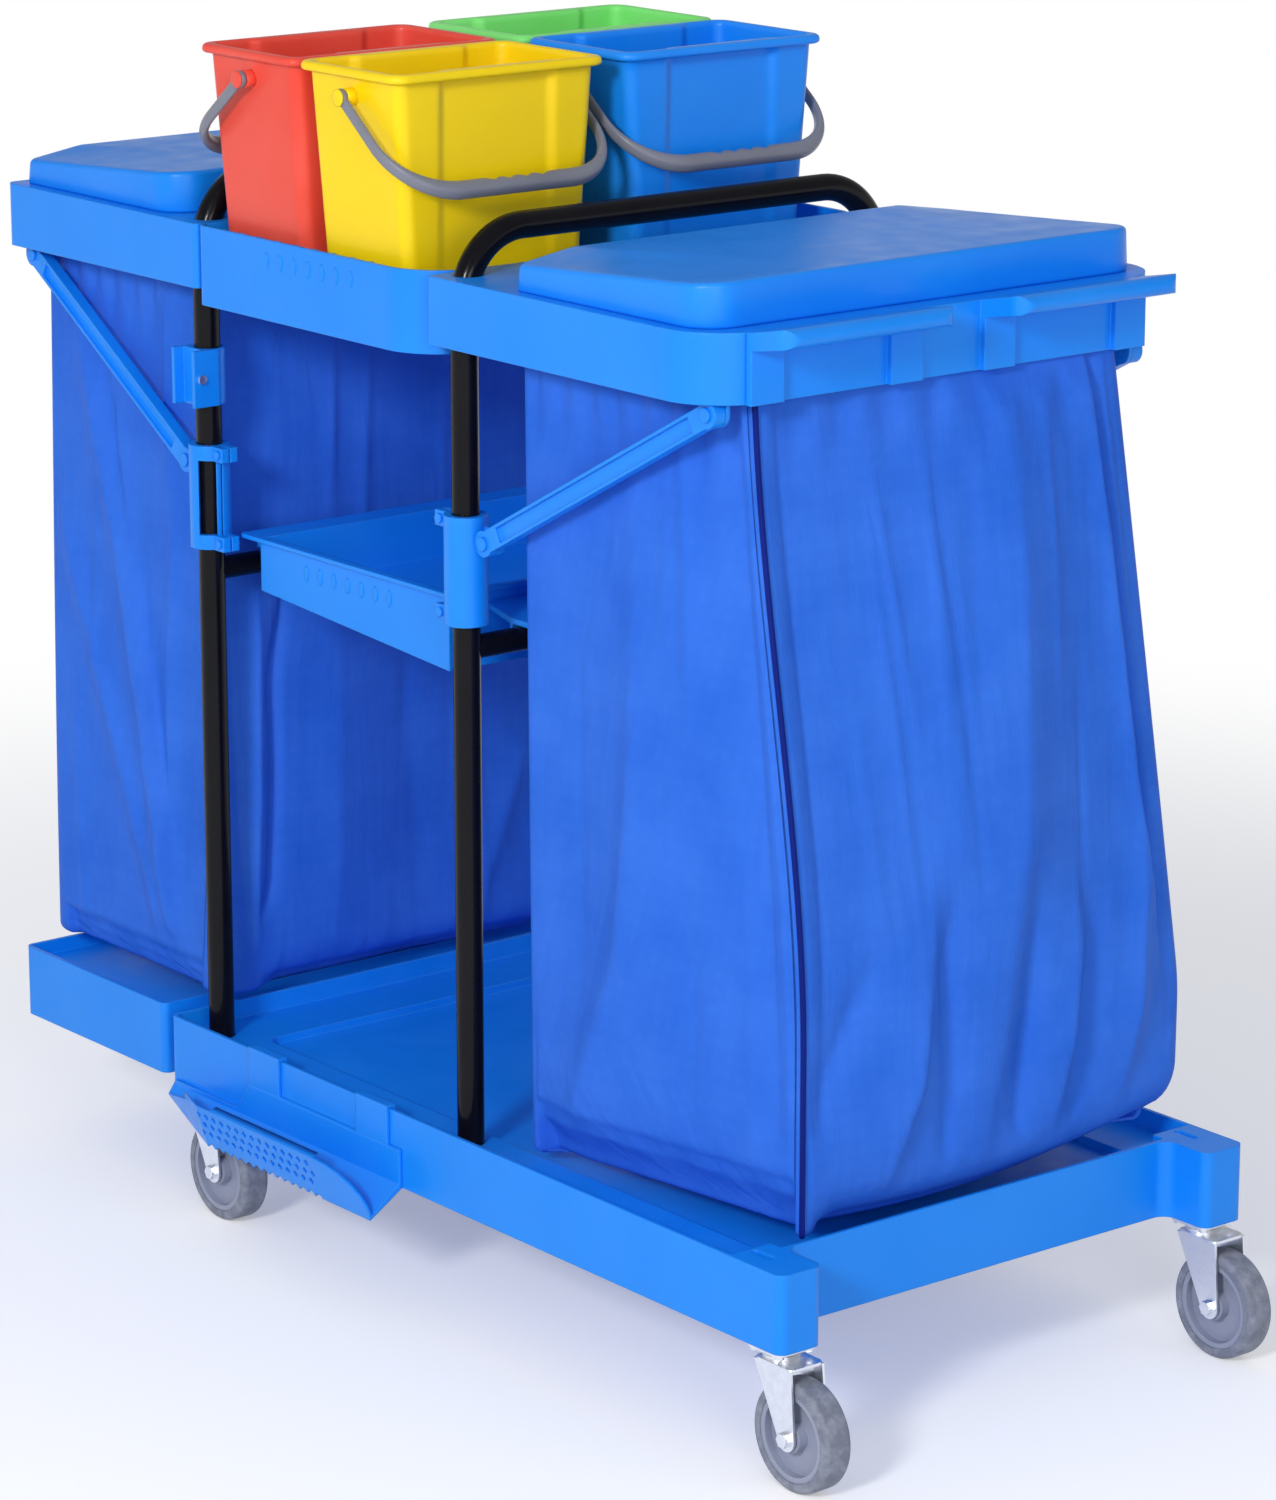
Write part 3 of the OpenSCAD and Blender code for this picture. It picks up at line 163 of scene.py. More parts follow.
def surface_grain(tree, warp_mm, grain_mm, warp_depth, grain_depth, edge_mm):
    """The normal of a moulded skin: rounded edges, a slow unevenness and a fine spark-eroded grain."""
    place = add(tree, "ShaderNodeTexCoord").outputs["Object"]
    edge = add(tree, "ShaderNodeBevel", {"Radius": edge_mm * MM}, samples=6).outputs["Normal"]
    warp = add(tree, "ShaderNodeTexNoise", {"Vector": place, "Scale": 1 / (warp_mm * MM), "Detail": 1.0})
    slow = add(tree, "ShaderNodeBump", {"Height": warp.outputs["Fac"], "Normal": edge, "Strength": 1.0,
                                        "Distance": warp_depth * MM}).outputs["Normal"]
    grain = add(tree, "ShaderNodeTexNoise", {"Vector": place, "Scale": 1 / (grain_mm * MM), "Detail": 2.0})
    fine = add(tree, "ShaderNodeBump", {"Height": grain.outputs["Fac"], "Normal": slow, "Strength": 1.0,
                                        "Distance": grain_depth * MM}).outputs["Normal"]
    return place, edge, fine


def moulded_plastic(name, tone, lighter, roughness=0.36, edge_mm=2.0):
    """Injection-moulded polypropylene: an even colour with faint flow clouds and a satin skin.

    The edges, rounded by the bevel, are painted a little paler: a painted highlight along every edge."""
    made, tree = blank(name)
    place, edge, normal = surface_grain(tree, warp_mm=45, grain_mm=1.6, warp_depth=0.9,
                                        grain_depth=0.03, edge_mm=edge_mm)
    cloud = add(tree, "ShaderNodeTexNoise", {"Vector": place, "Scale": 1 / (120 * MM), "Detail": 3.0})
    drift = add(tree, "ShaderNodeMapRange", {"Value": cloud.outputs["Fac"], "From Min": 0.3, "From Max": 0.7,
                                             "To Min": 0.0, "To Max": 0.35}).outputs["Result"]
    # Painted highlight: where the bevel's rounded normal turns away from the flat one, the colour is mixed towards
    # the lighter tone.
    flat = add(tree, "ShaderNodeNewGeometry").outputs["Normal"]
    facing = add(tree, "ShaderNodeVectorMath", {0: edge, 1: flat}, operation="DOT_PRODUCT").outputs["Value"]
    painted_edge_highlight = add(tree, "ShaderNodeMapRange", {"Value": facing, "From Min": 0.98, "From Max": 0.8,
                                            "To Min": 0.0, "To Max": 0.55}).outputs["Result"]
    pale = add(tree, "ShaderNodeMath", {0: drift, 1: painted_edge_highlight}, operation="ADD", use_clamp=True).outputs["Value"]
    colour = add(tree, "ShaderNodeMix", {"Factor": pale, "A": linear(tone), "B": linear(lighter)},
                 data_type="RGBA").outputs["Result"]
    rub = add(tree, "ShaderNodeTexNoise", {"Vector": place, "Scale": 1 / (30 * MM), "Detail": 4.0})
    satin = add(tree, "ShaderNodeMapRange", {"Value": rub.outputs["Fac"], "From Min": 0.3, "From Max": 0.7,
                                             "To Min": roughness - 0.05, "To Max": roughness + 0.06})
    skin = add(tree, "ShaderNodeBsdfPrincipled", {"Base Color": colour, "Normal": normal, "IOR": 1.49,
                                                  "Roughness": satin.outputs["Result"],
                                                  "Specular IOR Level": 0.32})
    add(tree, "ShaderNodeOutputMaterial", {"Surface": skin.outputs["BSDF"]})
    return made


def coated_cloth(name, tone, lighter):
    """Coated polyester bag cloth: a plain weave under a thin dull coat, creased as it hangs."""
    made, tree = blank(name)
    cloth = add(tree, "ShaderNodeTexCoord").outputs["UV"]
    place = add(tree, "ShaderNodeTexCoord").outputs["Object"]
    # Threads lie 0.5 mm apart, drawn 2.4 mm apart so that the weave shows
    thread = {"Vector": cloth, "Scale": 1 / (2.4 * MM) / 20, "Distortion": 0.6, "Detail Scale": 2.0}
    threads = [add(tree, "ShaderNodeTexWave", thread, bands_direction=way).outputs["Fac"]
               for way in ("X", "Y")]
    weave = add(tree, "ShaderNodeMath", {0: threads[0], 1: threads[1]},
                operation="MULTIPLY").outputs["Value"]
    drape = add(tree, "ShaderNodeMapping", {"Vector": cloth, "Scale": (1.0, 0.22, 1.0)}).outputs["Vector"]
    crease = add(tree, "ShaderNodeTexNoise", {"Vector": drape, "Scale": 1 / (32 * MM), "Detail": 4.0,
                                              "Roughness": 0.5, "Distortion": 0.5})
    rumple = add(tree, "ShaderNodeBump", {"Height": crease.outputs["Fac"], "Strength": 1.0,
                                          "Distance": 2.5 * MM}).outputs["Normal"]
    normal = add(tree, "ShaderNodeBump", {"Height": weave, "Normal": rumple, "Strength": 0.5,
                                          "Distance": 0.04 * MM}).outputs["Normal"]
    blot = add(tree, "ShaderNodeTexNoise", {"Vector": place, "Scale": 1 / (90 * MM), "Detail": 5.0,
                                            "Roughness": 0.6})
    fade = add(tree, "ShaderNodeMapRange", {"Value": blot.outputs["Fac"], "From Min": 0.32, "From Max": 0.68,
                                            "To Min": 0.0, "To Max": 0.4}).outputs["Result"]
    knit = add(tree, "ShaderNodeMath", {0: weave, 1: 0.06}, operation="MULTIPLY").outputs["Value"]
    pale = add(tree, "ShaderNodeMath", {0: fade, 1: knit}, operation="ADD", use_clamp=True).outputs["Value"]
    colour = add(tree, "ShaderNodeMix", {"Factor": pale, "A": linear(tone), "B": linear(lighter)},
                 data_type="RGBA").outputs["Result"]
    skin = add(tree, "ShaderNodeBsdfPrincipled", {"Base Color": colour, "Normal": normal, "Roughness": 0.5,
                                                  "Specular IOR Level": 0.08})
    add(tree, "ShaderNodeOutputMaterial", {"Surface": skin.outputs["BSDF"]})
    return made


def gloss_enamel(name, tone, dusty):
    """Stoved black enamel on drawn steel tube: deep gloss, a slight ripple and a little dust."""
    made, tree = blank(name)
    place = add(tree, "ShaderNodeTexCoord").outputs["Object"]
    peel = add(tree, "ShaderNodeTexNoise", {"Vector": place, "Scale": 1 / (5 * MM), "Detail": 1.0})
    normal = add(tree, "ShaderNodeBump", {"Height": peel.outputs["Fac"], "Strength": 1.0,
                                          "Distance": 0.04 * MM}).outputs["Normal"]
    dust = add(tree, "ShaderNodeTexNoise", {"Vector": place, "Scale": 1 / (40 * MM), "Detail": 4.0})
    haze = add(tree, "ShaderNodeMapRange", {"Value": dust.outputs["Fac"], "From Min": 0.3, "From Max": 0.7,
                                            "To Min": 0.2, "To Max": 0.3}).outputs["Result"]
    tones = {"Factor": dust.outputs["Fac"], "A": linear(tone), "B": linear(dusty)}
    colour = add(tree, "ShaderNodeMix", tones, data_type="RGBA").outputs["Result"]
    skin = add(tree, "ShaderNodeBsdfPrincipled", {"Base Color": colour, "Roughness": haze, "Normal": normal,
                                                  "Specular IOR Level": 0.1, "Coat Weight": 0.14,
                                                  "Coat Roughness": 0.05})
    add(tree, "ShaderNodeOutputMaterial", {"Surface": skin.outputs["BSDF"]})
    return made


def zinc_plate(name, tone, darker):
    """Pressed steel with bright zinc plating: a clouded metal skin with fine rolling marks."""
    made, tree = blank(name)
    place = add(tree, "ShaderNodeTexCoord").outputs["Object"]
    stretch = add(tree, "ShaderNodeMapping", {"Vector": place, "Scale": (1.0, 1.0, 0.08)}).outputs["Vector"]
    marks = add(tree, "ShaderNodeTexNoise", {"Vector": stretch, "Scale": 1 / (1.2 * MM), "Detail": 2.0})
    edge = add(tree, "ShaderNodeBevel", {"Radius": 0.8 * MM}, samples=6).outputs["Normal"]
    normal = add(tree, "ShaderNodeBump", {"Height": marks.outputs["Fac"], "Normal": edge, "Strength": 1.0,
                                          "Distance": 0.02 * MM}).outputs["Normal"]
    bloom = add(tree, "ShaderNodeTexNoise", {"Vector": place, "Scale": 1 / (9 * MM), "Detail": 4.0})
    tones = {"Factor": bloom.outputs["Fac"], "A": linear(tone), "B": linear(darker)}
    colour = add(tree, "ShaderNodeMix", tones, data_type="RGBA").outputs["Result"]
    haze = add(tree, "ShaderNodeMapRange", {"Value": bloom.outputs["Fac"], "From Min": 0.3, "From Max": 0.7,
                                            "To Min": 0.24, "To Max": 0.42}).outputs["Result"]
    skin = add(tree, "ShaderNodeBsdfPrincipled", {"Base Color": colour, "Roughness": haze, "Normal": normal,
                                                  "Metallic": 1.0})
    add(tree, "ShaderNodeOutputMaterial", {"Surface": skin.outputs["BSDF"]})
    return made


def tread_rubber(name, tone, dusty):
    """Moulded grey rubber: matt, dusted paler where the floor rubs it, with fine moulding grain."""
    made, tree = blank(name)
    place, _, normal = surface_grain(tree, warp_mm=12, grain_mm=1.1, warp_depth=0.25,
                                     grain_depth=0.06, edge_mm=1.2)
    dust = add(tree, "ShaderNodeTexNoise", {"Vector": place, "Scale": 1 / (14 * MM), "Detail": 5.0,
                                            "Roughness": 0.65})
    scuff = add(tree, "ShaderNodeMapRange", {"Value": dust.outputs["Fac"], "From Min": 0.42, "From Max": 0.7,
                                             "To Min": 0.0, "To Max": 0.8}).outputs["Result"]
    colour = add(tree, "ShaderNodeMix", {"Factor": scuff, "A": linear(tone), "B": linear(dusty)},
                 data_type="RGBA").outputs["Result"]
    skin = add(tree, "ShaderNodeBsdfPrincipled", {"Base Color": colour, "Roughness": 0.62, "Normal": normal,
                                                  "IOR": 1.5})
    add(tree, "ShaderNodeOutputMaterial", {"Surface": skin.outputs["BSDF"]})
    return made


finishes = {
    "blue_plastic": moulded_plastic("moulded_polypropylene_blue", "0888F2", "2E96FF"),
    "bag_cloth": coated_cloth("coated_polyester_blue", "2A66D4", "4682EE"),
    "black_enamel": gloss_enamel("stoved_enamel_black", "08080C", "121218"),
    "zinc_steel": zinc_plate("zinc_plated_steel", "F6F8FC", "DADEE6"),
    "red_plastic": moulded_plastic("moulded_polypropylene_red", "EA4634", "FF7A6C", edge_mm=1.2),
    "yellow_plastic": moulded_plastic("moulded_polypropylene_yellow", "FFD800", "FFE426", edge_mm=1.2),
    "green_plastic": moulded_plastic("moulded_polypropylene_green", "80EC78", "A0F69A", edge_mm=1.2),
    "bucket_blue_plastic": moulded_plastic("moulded_polypropylene_bucket_blue", "0C8CFA", "36A0FF",
                                           edge_mm=1.2),
    "grey_plastic": moulded_plastic("moulded_polypropylene_grey", "767884", "9C9EAA",
                                    roughness=0.32, edge_mm=1.2),
    "grey_nylon": moulded_plastic("moulded_nylon_grey", "9298AE", "B0B6C6", roughness=0.42, edge_mm=1.0),
    "grey_rubber": tread_rubber("moulded_rubber_grey", "757A8A", "9EA3B2"),
}
# Painted shade: the seam cord is dark navy to stand in for the narrow shadow in the crease along the bag's near
# corner.
painted_seam_shade_cloth = coated_cloth("painted_seam_shade_navy", "0A1C74", "12288A")
slot_of = {entry["node"]: entry["material_slot"] for entry in frame["record"]["subparts"]}
for node, made in frame["nodes"].items():
    made.data.materials.clear()
    made.data.materials.append(finishes[slot_of[node]])


# Bags: a four-cornered outline hangs from the frame, flares, creases into folds and turns under at the foot

BAG_CLOTH_MM = 1.4
# Radius of the piping, and how far its middle stands off the cloth
PIPING_R, PIPING_OFF = 2.6, (1.8, 0.4, 0)
# Points along the fore, far, aft and near side of a bag, and round each corner
SIDE_POINTS, CORNER_POINTS = (128, 56, 56, 92), 10
WALL_ROWS, FOOT_ROWS, BASE_ROWS = 112, 6, 6
FOOT_ROLL = 8.0
# Inside faces of each bag frame's end walls, their lower edge, how far the cloth keeps off them, and how
# much further out it may stand for each mm below them
FRAME_INSIDE = {"front_bag": (79.5, 466.5), "rear_bag": (-618.5, -292.5)}
FRAME_FOOT, CLOTH_CLEAR, CLOTH_SPREAD = 921.0, 1.5, 0.5
FORE, FARSIDE, AFT, NEARSIDE = range(4)
# How evenly a side's points lie: 1 is even, less crowds them towards the corners, where the cloth is pleated
EVEN_SHARE = 0.45
# Shape of a fold's crest: 1 makes a tent, 2 a round bell
CREST = 1.2
# Puckers under the frame: height in mm, middle and spread as shares of the depth, and how many on each side
PUCKER_TALL, PUCKER_AT, PUCKER_SPREAD, PUCKERS = 2.4, 0.08, 0.06, 8
# The hem's seam: ridge height and spread, then groove depth, distance below the ridge and spread, all in mm
RIDGE_TALL, RIDGE_SPREAD, GROOVE_DEPTH, GROOVE_BELOW, GROOVE_SPREAD = 2.2, 3.0, 5.0, 8.0, 4.0
# Crumples of the hem: height in mm, then two waves with their count along the side and slant per mm upwards
CRUMPLE, CRUMPLE_WAVES = 2.4, ((5.3, 0.01), (2.1, -0.02))
# How far the foot rounds under, as a share of a quarter circle, and the share of a side it takes to begin
UNDER, UNDER_START = 0.7, 0.12
# Folds fade out towards the ends of a side and towards the frame: shares of the side and of the depth
END_FADE, TOP_FADE = 0.02, 0.1
# Rows lie closer together at the foot than at the mouth
ROW_SPACING = 0.9
# Small folds where the cloth is in tension: how many on each side, and the ranges of their start and run as
# shares of the depth, place and slant as shares of the side, height and first width in mm; then the second
# width as a share of the first
TENSION_FOLDS = (14, 12, 12, 10)
TENSION_RANGE = ((0.0, 0.25, 0.08, -0.08, -3.5, 6.0), (0.6, 0.6, 0.88, 0.05, 4.5, 15.0))
SECOND_WIDTH = 0.6


def hanging_outline(corners, radii):
    """Rows of a closed outline with four corners: each corner is a quadratic curve, each side a line.

    corners is rows x 4 x 2 and radii rows x 4; returns rows x points x 2, with each point's side and share
    along it."""
    round_it = np.linspace(0, 1, CORNER_POINTS, endpoint=False)[None, :, None]
    parts, sides, shares = [], [], []
    for k, count in enumerate(SIDE_POINTS):
        even = np.linspace(0, 1, count, endpoint=False)
        run = EVEN_SHARE * even + (1 - EVEN_SHARE) / 2 * (1 - np.cos(np.pi * even))
        here, before, after = corners[:, k], corners[:, k - 1], corners[:, (k + 1) % 4]
        back, ahead = before - here, after - here
        length = np.linalg.norm(ahead, axis=-1, keepdims=True)
        enter = here + radii[:, k, None] * back / np.linalg.norm(back, axis=-1, keepdims=True)
        leave = here + radii[:, k, None] * ahead / length
        end = after - radii[:, (k + 1) % 4, None] * ahead / length
        parts.append((1 - round_it) ** 2 * enter[:, None] + 2 * round_it * (1 - round_it) * here[:, None]
                     + round_it ** 2 * leave[:, None])
        parts.append(leave[:, None] + run[None, :, None] * (end - leave)[:, None])
        sides += [k] * (CORNER_POINTS + count)
        shares += [0.0] * CORNER_POINTS + run.tolist()
    return np.concatenate(parts, axis=1), np.array(sides), np.array(shares)


def fold(side, share, length, depth, at_side, widths, *knots):
    """A crease in one side of a bag: the height of a bell whose middle follows a line down the cloth.

    Each knot of the line is a depth, a share along the side and a height in mm, negative for a groove. The
    bell falls off over the first width, in mm, before the line and over the second one after it."""
    at, where, tall = np.array(knots).T
    off = (share[None] - np.interp(depth, at, where)) * length
    bell = np.exp(-np.abs(off / np.where(off < 0, *widths)) ** CREST)
    return np.where(side == at_side, np.interp(depth, at, tall, left=0, right=0) * bell, 0.0)


def softened(rows, passes=3):
    """The rows averaged with their neighbours above and below, a few times over."""
    for _ in range(passes):
        rows[1:-1] = (rows[:-2] + 2 * rows[1:-1] + rows[2:]) / 4
    return rows


def side_fade(share):
    """A soft window along a side: 1 over nearly all of it, 0 at both its ends."""
    return smooth(share / END_FADE) * smooth((1 - share) / END_FADE)


def wall_folds(folds, seed, side, share, length, depth):
    """How far the cloth stands off its outline: placed folds, small seeded ones and puckers, added up."""
    push = sum(fold(side[None], share, length, depth, *crease) for crease in folds)
    rng = np.random.default_rng(seed)
    for at_side, count in enumerate(TENSION_FOLDS):
        for start, run, where, slant, tall, wide in rng.uniform(*TENSION_RANGE, size=(count, 6)):
            line = [(start + run * t, where + slant * t, tall * math.sin(math.pi * t))
                    for t in (0, 0.25, 0.5, 0.75, 1)]
            widths = wide, SECOND_WIDTH * wide
            push = push + fold(side[None], share, length, depth, at_side, widths, *line)
    reach = np.exp(-((depth - PUCKER_AT) / PUCKER_SPREAD) ** 2)
    gather = PUCKER_TALL * reach * np.sin(2 * np.pi * PUCKERS * share[None] + side[None])
    return softened((push + gather) * side_fade(share) * smooth(depth / TOP_FADE + 0.1))


def foot_shape(hem, side, share, above):
    """How far the cloth stands off its outline near the foot, from each point's height above it.

    The near side is hemmed: below a seam the cloth is turned in, and crumples. The other sides round under,
    drawn in along the arc of a circle."""
    turned = smooth((hem["height"] - above) / hem["height"])
    crumple = CRUMPLE
    for waves, slant in CRUMPLE_WAVES:
        crumple = crumple * np.sin(2 * np.pi * (waves * share + slant * above))
    off_seam = above - hem["height"]
    seam = RIDGE_TALL * np.exp(-(off_seam / RIDGE_SPREAD) ** 2)
    seam -= GROOVE_DEPTH * np.exp(-((off_seam + GROOVE_BELOW) / GROOVE_SPREAD) ** 2)
    hemmed = (turned * ((1 - turned) * 3 * crumple - hem["turn"]) + seam) * (side == NEARSIDE)
    fall = np.clip(hem["round"] - above, 0, hem["round"])
    rounded = UNDER * (np.sqrt(hem["round"] ** 2 - fall ** 2) - hem["round"]) * (side != NEARSIDE)
    rounded *= np.where(side == FORE, smooth(share / UNDER_START), 1)
    rounded *= np.where(side == AFT, smooth((1 - share) / UNDER_START), 1)
    return hemmed * side_fade(share) + rounded


def turned_under(shell, z, out, floor):
    """The rows below the wall: the foot rolls in along a quarter circle, the base runs on to its middle."""
    under = np.linspace(0, np.pi / 2, FOOT_ROWS + 1)[1:, None]
    middle = shell[WALL_ROWS - 1].mean(axis=0)
    rows = slice(WALL_ROWS, WALL_ROWS + FOOT_ROWS)
    shell[rows] -= (FOOT_ROLL * (1 - np.cos(under)))[..., None] * out[rows]
    z[rows] = floor + FOOT_ROLL * (1 - np.sin(under))
    inward = np.linspace(0, 1, BASE_ROWS + 1)[1:, None]
    rim = shell[WALL_ROWS + FOOT_ROWS - 1]
    shell[-BASE_ROWS:] = rim * (1 - inward[..., None]) + middle * inward[..., None]
    z[-BASE_ROWS:] = floor * (1 - inward) + floor.mean() * inward
    return np.concatenate([shell, z[..., None]], axis=-1)


def cloth_map(points):
    """Each point's place on the cloth in metres: the way round along its row and the way down to it."""
    steps = np.linalg.norm(np.diff(points, axis=1, append=points[:, :1]), axis=-1)
    round_it = np.concatenate([np.zeros((len(points), 1)), np.cumsum(steps, axis=1)[:, :-1]], axis=1)
    down = np.cumsum(np.linalg.norm(np.diff(points, axis=0, prepend=points[:1]), axis=-1), axis=0)
    return np.stack([round_it, down], axis=-1) * MM


def bag(name, node, mouth, foot, radii, flare, folds, hem, seed):
    """A bag shell: the outline goes from mouth to foot down the wall, and rolls under to the base's middle.

    mouth and foot give each corner as x, y offsets in mm from the same corner of the bag's CAD box, and foot
    its lift above the box's floor too. flare says how much of the way from mouth to foot each corner has
    gone at each depth. radii are those of the corners at mouth and foot. hem gives, in mm, the height of the
    near side's seam, how far the cloth turns in below it, the radius at the foot of the other sides, and the
    sag of the fore side's lower edge."""
    low, high = millimetres(node)
    box = np.array([(high[0], low[1]), (high[0], high[1]), (low[0], high[1]), (low[0], low[1])])
    mouth, foot = np.array(mouth, float), np.array(foot, float)
    wall_depth = np.linspace(0, 1, WALL_ROWS) ** ROW_SPACING
    depth = np.concatenate([wall_depth, np.ones(FOOT_ROWS + BASE_ROWS)])[:, None]
    corners = box + mouth + (foot[:, :2] - mouth) * flare(depth)[:, :, None]
    rounding = np.array(radii[0]) + np.subtract(radii[1], radii[0]) * depth ** 3
    plan, side, share = hanging_outline(corners, rounding)
    ahead = np.roll(plan, -1, axis=1) - np.roll(plan, 1, axis=1)
    out = np.stack([ahead[..., 1], -ahead[..., 0]], axis=-1)
    out /= np.linalg.norm(out, axis=-1, keepdims=True)
    length = np.linalg.norm(np.roll(corners, -1, axis=1) - corners, axis=-1)[:, side]
    floor = low[2] + foot[side, 2] + (np.roll(foot, -1, axis=0) - foot)[side, 2] * share
    floor -= hem["sag"] * np.sin(np.pi * share) * (side == FORE)
    above = (1 - depth) * (high[2] - floor - FOOT_ROLL)
    push = wall_folds(folds, seed, side, share, length, depth) + foot_shape(hem, side, share, above)
    shell = plan + push[..., None] * out
    z = floor + FOOT_ROLL + above
    spread = CLOTH_SPREAD * np.maximum(FRAME_FOOT - z, 0) - CLOTH_CLEAR
    shell[..., 0] = np.clip(shell[..., 0], FRAME_INSIDE[node][0] - spread, FRAME_INSIDE[node][1] + spread)
    points = turned_under(shell, z, out, floor)
    made = piece(name, [points], finishes["bag_cloth"], uv=cloth_map(points))
    wall = made.modifiers.new("cloth thickness", "SOLIDIFY")
    wall.thickness = BAG_CLOTH_MM * MM
    wall.offset = -1.0
    stands_for(made, node)
    return made, points


def seam_cord(name, points, radius):
    """Piping along a seam: a thin round cord that follows a line of the cloth, coloured dark navy as painted shade
    of the crease along the seam.
    """
    made = piece(name, [tube(points, radius, sides=10)], painted_seam_shade_cloth)
    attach(made, "cart")
    return made


# Corners in turn: near fore, far fore, far aft, near aft
front_mouth = [(-65, 22), (-57, -25), (-4, -12), (-2, 4)]
front_foot = [(3, 25, -5), (8, 24, 13), (2, 4, -11), (2, 6, -17)]
front_folds = [
    # Fore side: one broad fold from the top, which splits towards the foot, and a pleat at the far edge
    (FORE, (110, 90), (0.03, 0.71, 4), (0.15, 0.67, 22), (0.30, 0.64, 34), (0.60, 0.57, 34),
     (0.85, 0.50, 20), (0.97, 0.46, 4)),
    (FORE, (34, 26), (0.15, 0.40, 0), (0.30, 0.43, 5), (0.50, 0.42, 6), (0.70, 0.38, 0)),
    (FORE, (14, 60), (0.05, 0.05, -4), (0.30, 0.06, -9), (0.60, 0.06, -9), (0.90, 0.04, -4)),
    (FORE, (50, 12), (0.60, 0.33, 0), (0.72, 0.31, 14), (0.85, 0.27, 18), (0.97, 0.20, 5)),
    (FORE, (14, 16), (0.62, 0.40, 0), (0.72, 0.355, -10), (0.85, 0.37, -12), (0.95, 0.37, -5)),
    (FORE, (18, 14), (0.68, 0.20, 0), (0.75, 0.13, -9), (0.83, 0.06, -8), (0.90, 0.03, 0)),
    (FORE, (30, 14), (0.60, 0.62, 0), (0.72, 0.60, -10), (0.85, 0.57, -18), (0.95, 0.58, -9)),
    (FORE, (28, 12), (0.64, 0.73, 0), (0.74, 0.725, 12), (0.85, 0.69, 16), (0.95, 0.67, 4)),
    (FORE, (16, 16), (0.68, 0.78, 0), (0.76, 0.77, -7), (0.86, 0.735, -11), (0.95, 0.73, -5)),
    (FORE, (40, 18), (0.60, 0.95, 0), (0.72, 0.93, 12), (0.85, 0.89, 16), (0.95, 0.86, 4)),
    (FORE, (16, 4), (0.05, 0.925, 4), (0.26, 0.932, 8), (0.56, 0.947, 8), (0.70, 0.96, 5),
     (0.85, 0.965, 0)),
    (FORE, (4, 7), (0.05, 0.945, -8), (0.26, 0.955, -13), (0.56, 0.967, -13), (0.70, 0.98, -8),
     (0.85, 0.985, 0)),
    (FARSIDE, (40, 22), (0.1, 0.25, 0), (0.5, 0.24, 12), (0.9, 0.22, 7)),
    (FARSIDE, (26, 30), (0.1, 0.5, 0), (0.5, 0.52, -12), (0.95, 0.56, -9)),
    (FARSIDE, (36, 26), (0.05, 0.78, 3), (0.5, 0.78, 11), (0.95, 0.8, 4)),
    (AFT, (36, 26), (0.1, 0.22, 0), (0.5, 0.22, 10), (0.95, 0.26, 6)),
    (AFT, (26, 34), (0.1, 0.5, 0), (0.5, 0.5, -11), (0.95, 0.47, -9)),
    (AFT, (40, 28), (0.05, 0.76, 3), (0.5, 0.75, 11), (0.95, 0.8, 5)),
    # Near side: the cloth steps out along a line that slants down to the aft corner
    (NEARSIDE, (38, 170), (0.05, 0.53, 2), (0.24, 0.50, 9), (0.51, 0.46, 20), (0.73, 0.40, 26),
     (0.91, 0.22, 21), (1.0, 0.15, 4)),
    (NEARSIDE, (12, 10), (0.10, 0.72, 2), (0.25, 0.72, 5), (0.40, 0.70, 4), (0.50, 0.68, 0)),
    (NEARSIDE, (40, 12), (0.10, 0.955, -4), (0.34, 0.945, -7), (0.67, 0.93, -7), (0.9, 0.94, -4)),
]


def front_flare(depth):
    """The front bag's corners: the two fore ones swing out well before the foot, the aft ones go evenly."""
    return np.hstack([smooth(depth / 0.8), softened(np.minimum(depth / 0.84, 1), 9), depth, depth])


def rear_flare(depth):
    """The rear bag's corners hang nearly straight at first, and go out together towards the foot."""
    return np.repeat(depth ** 1.4, 4, axis=1)


front_bag, cloth = bag(
    "front_bag_cloth", "front_bag", front_mouth, front_foot, ((6, 20, 20, 9), (6, 26, 30, 10)), front_flare,
    front_folds, {"height": 48, "turn": 20, "round": 46, "sag": 17}, seed=11)
near_corner = cloth[4:WALL_ROWS + 3, CORNER_POINTS // 2]
front_piping = seam_cord("front_bag_piping", near_corner + PIPING_OFF, PIPING_R)

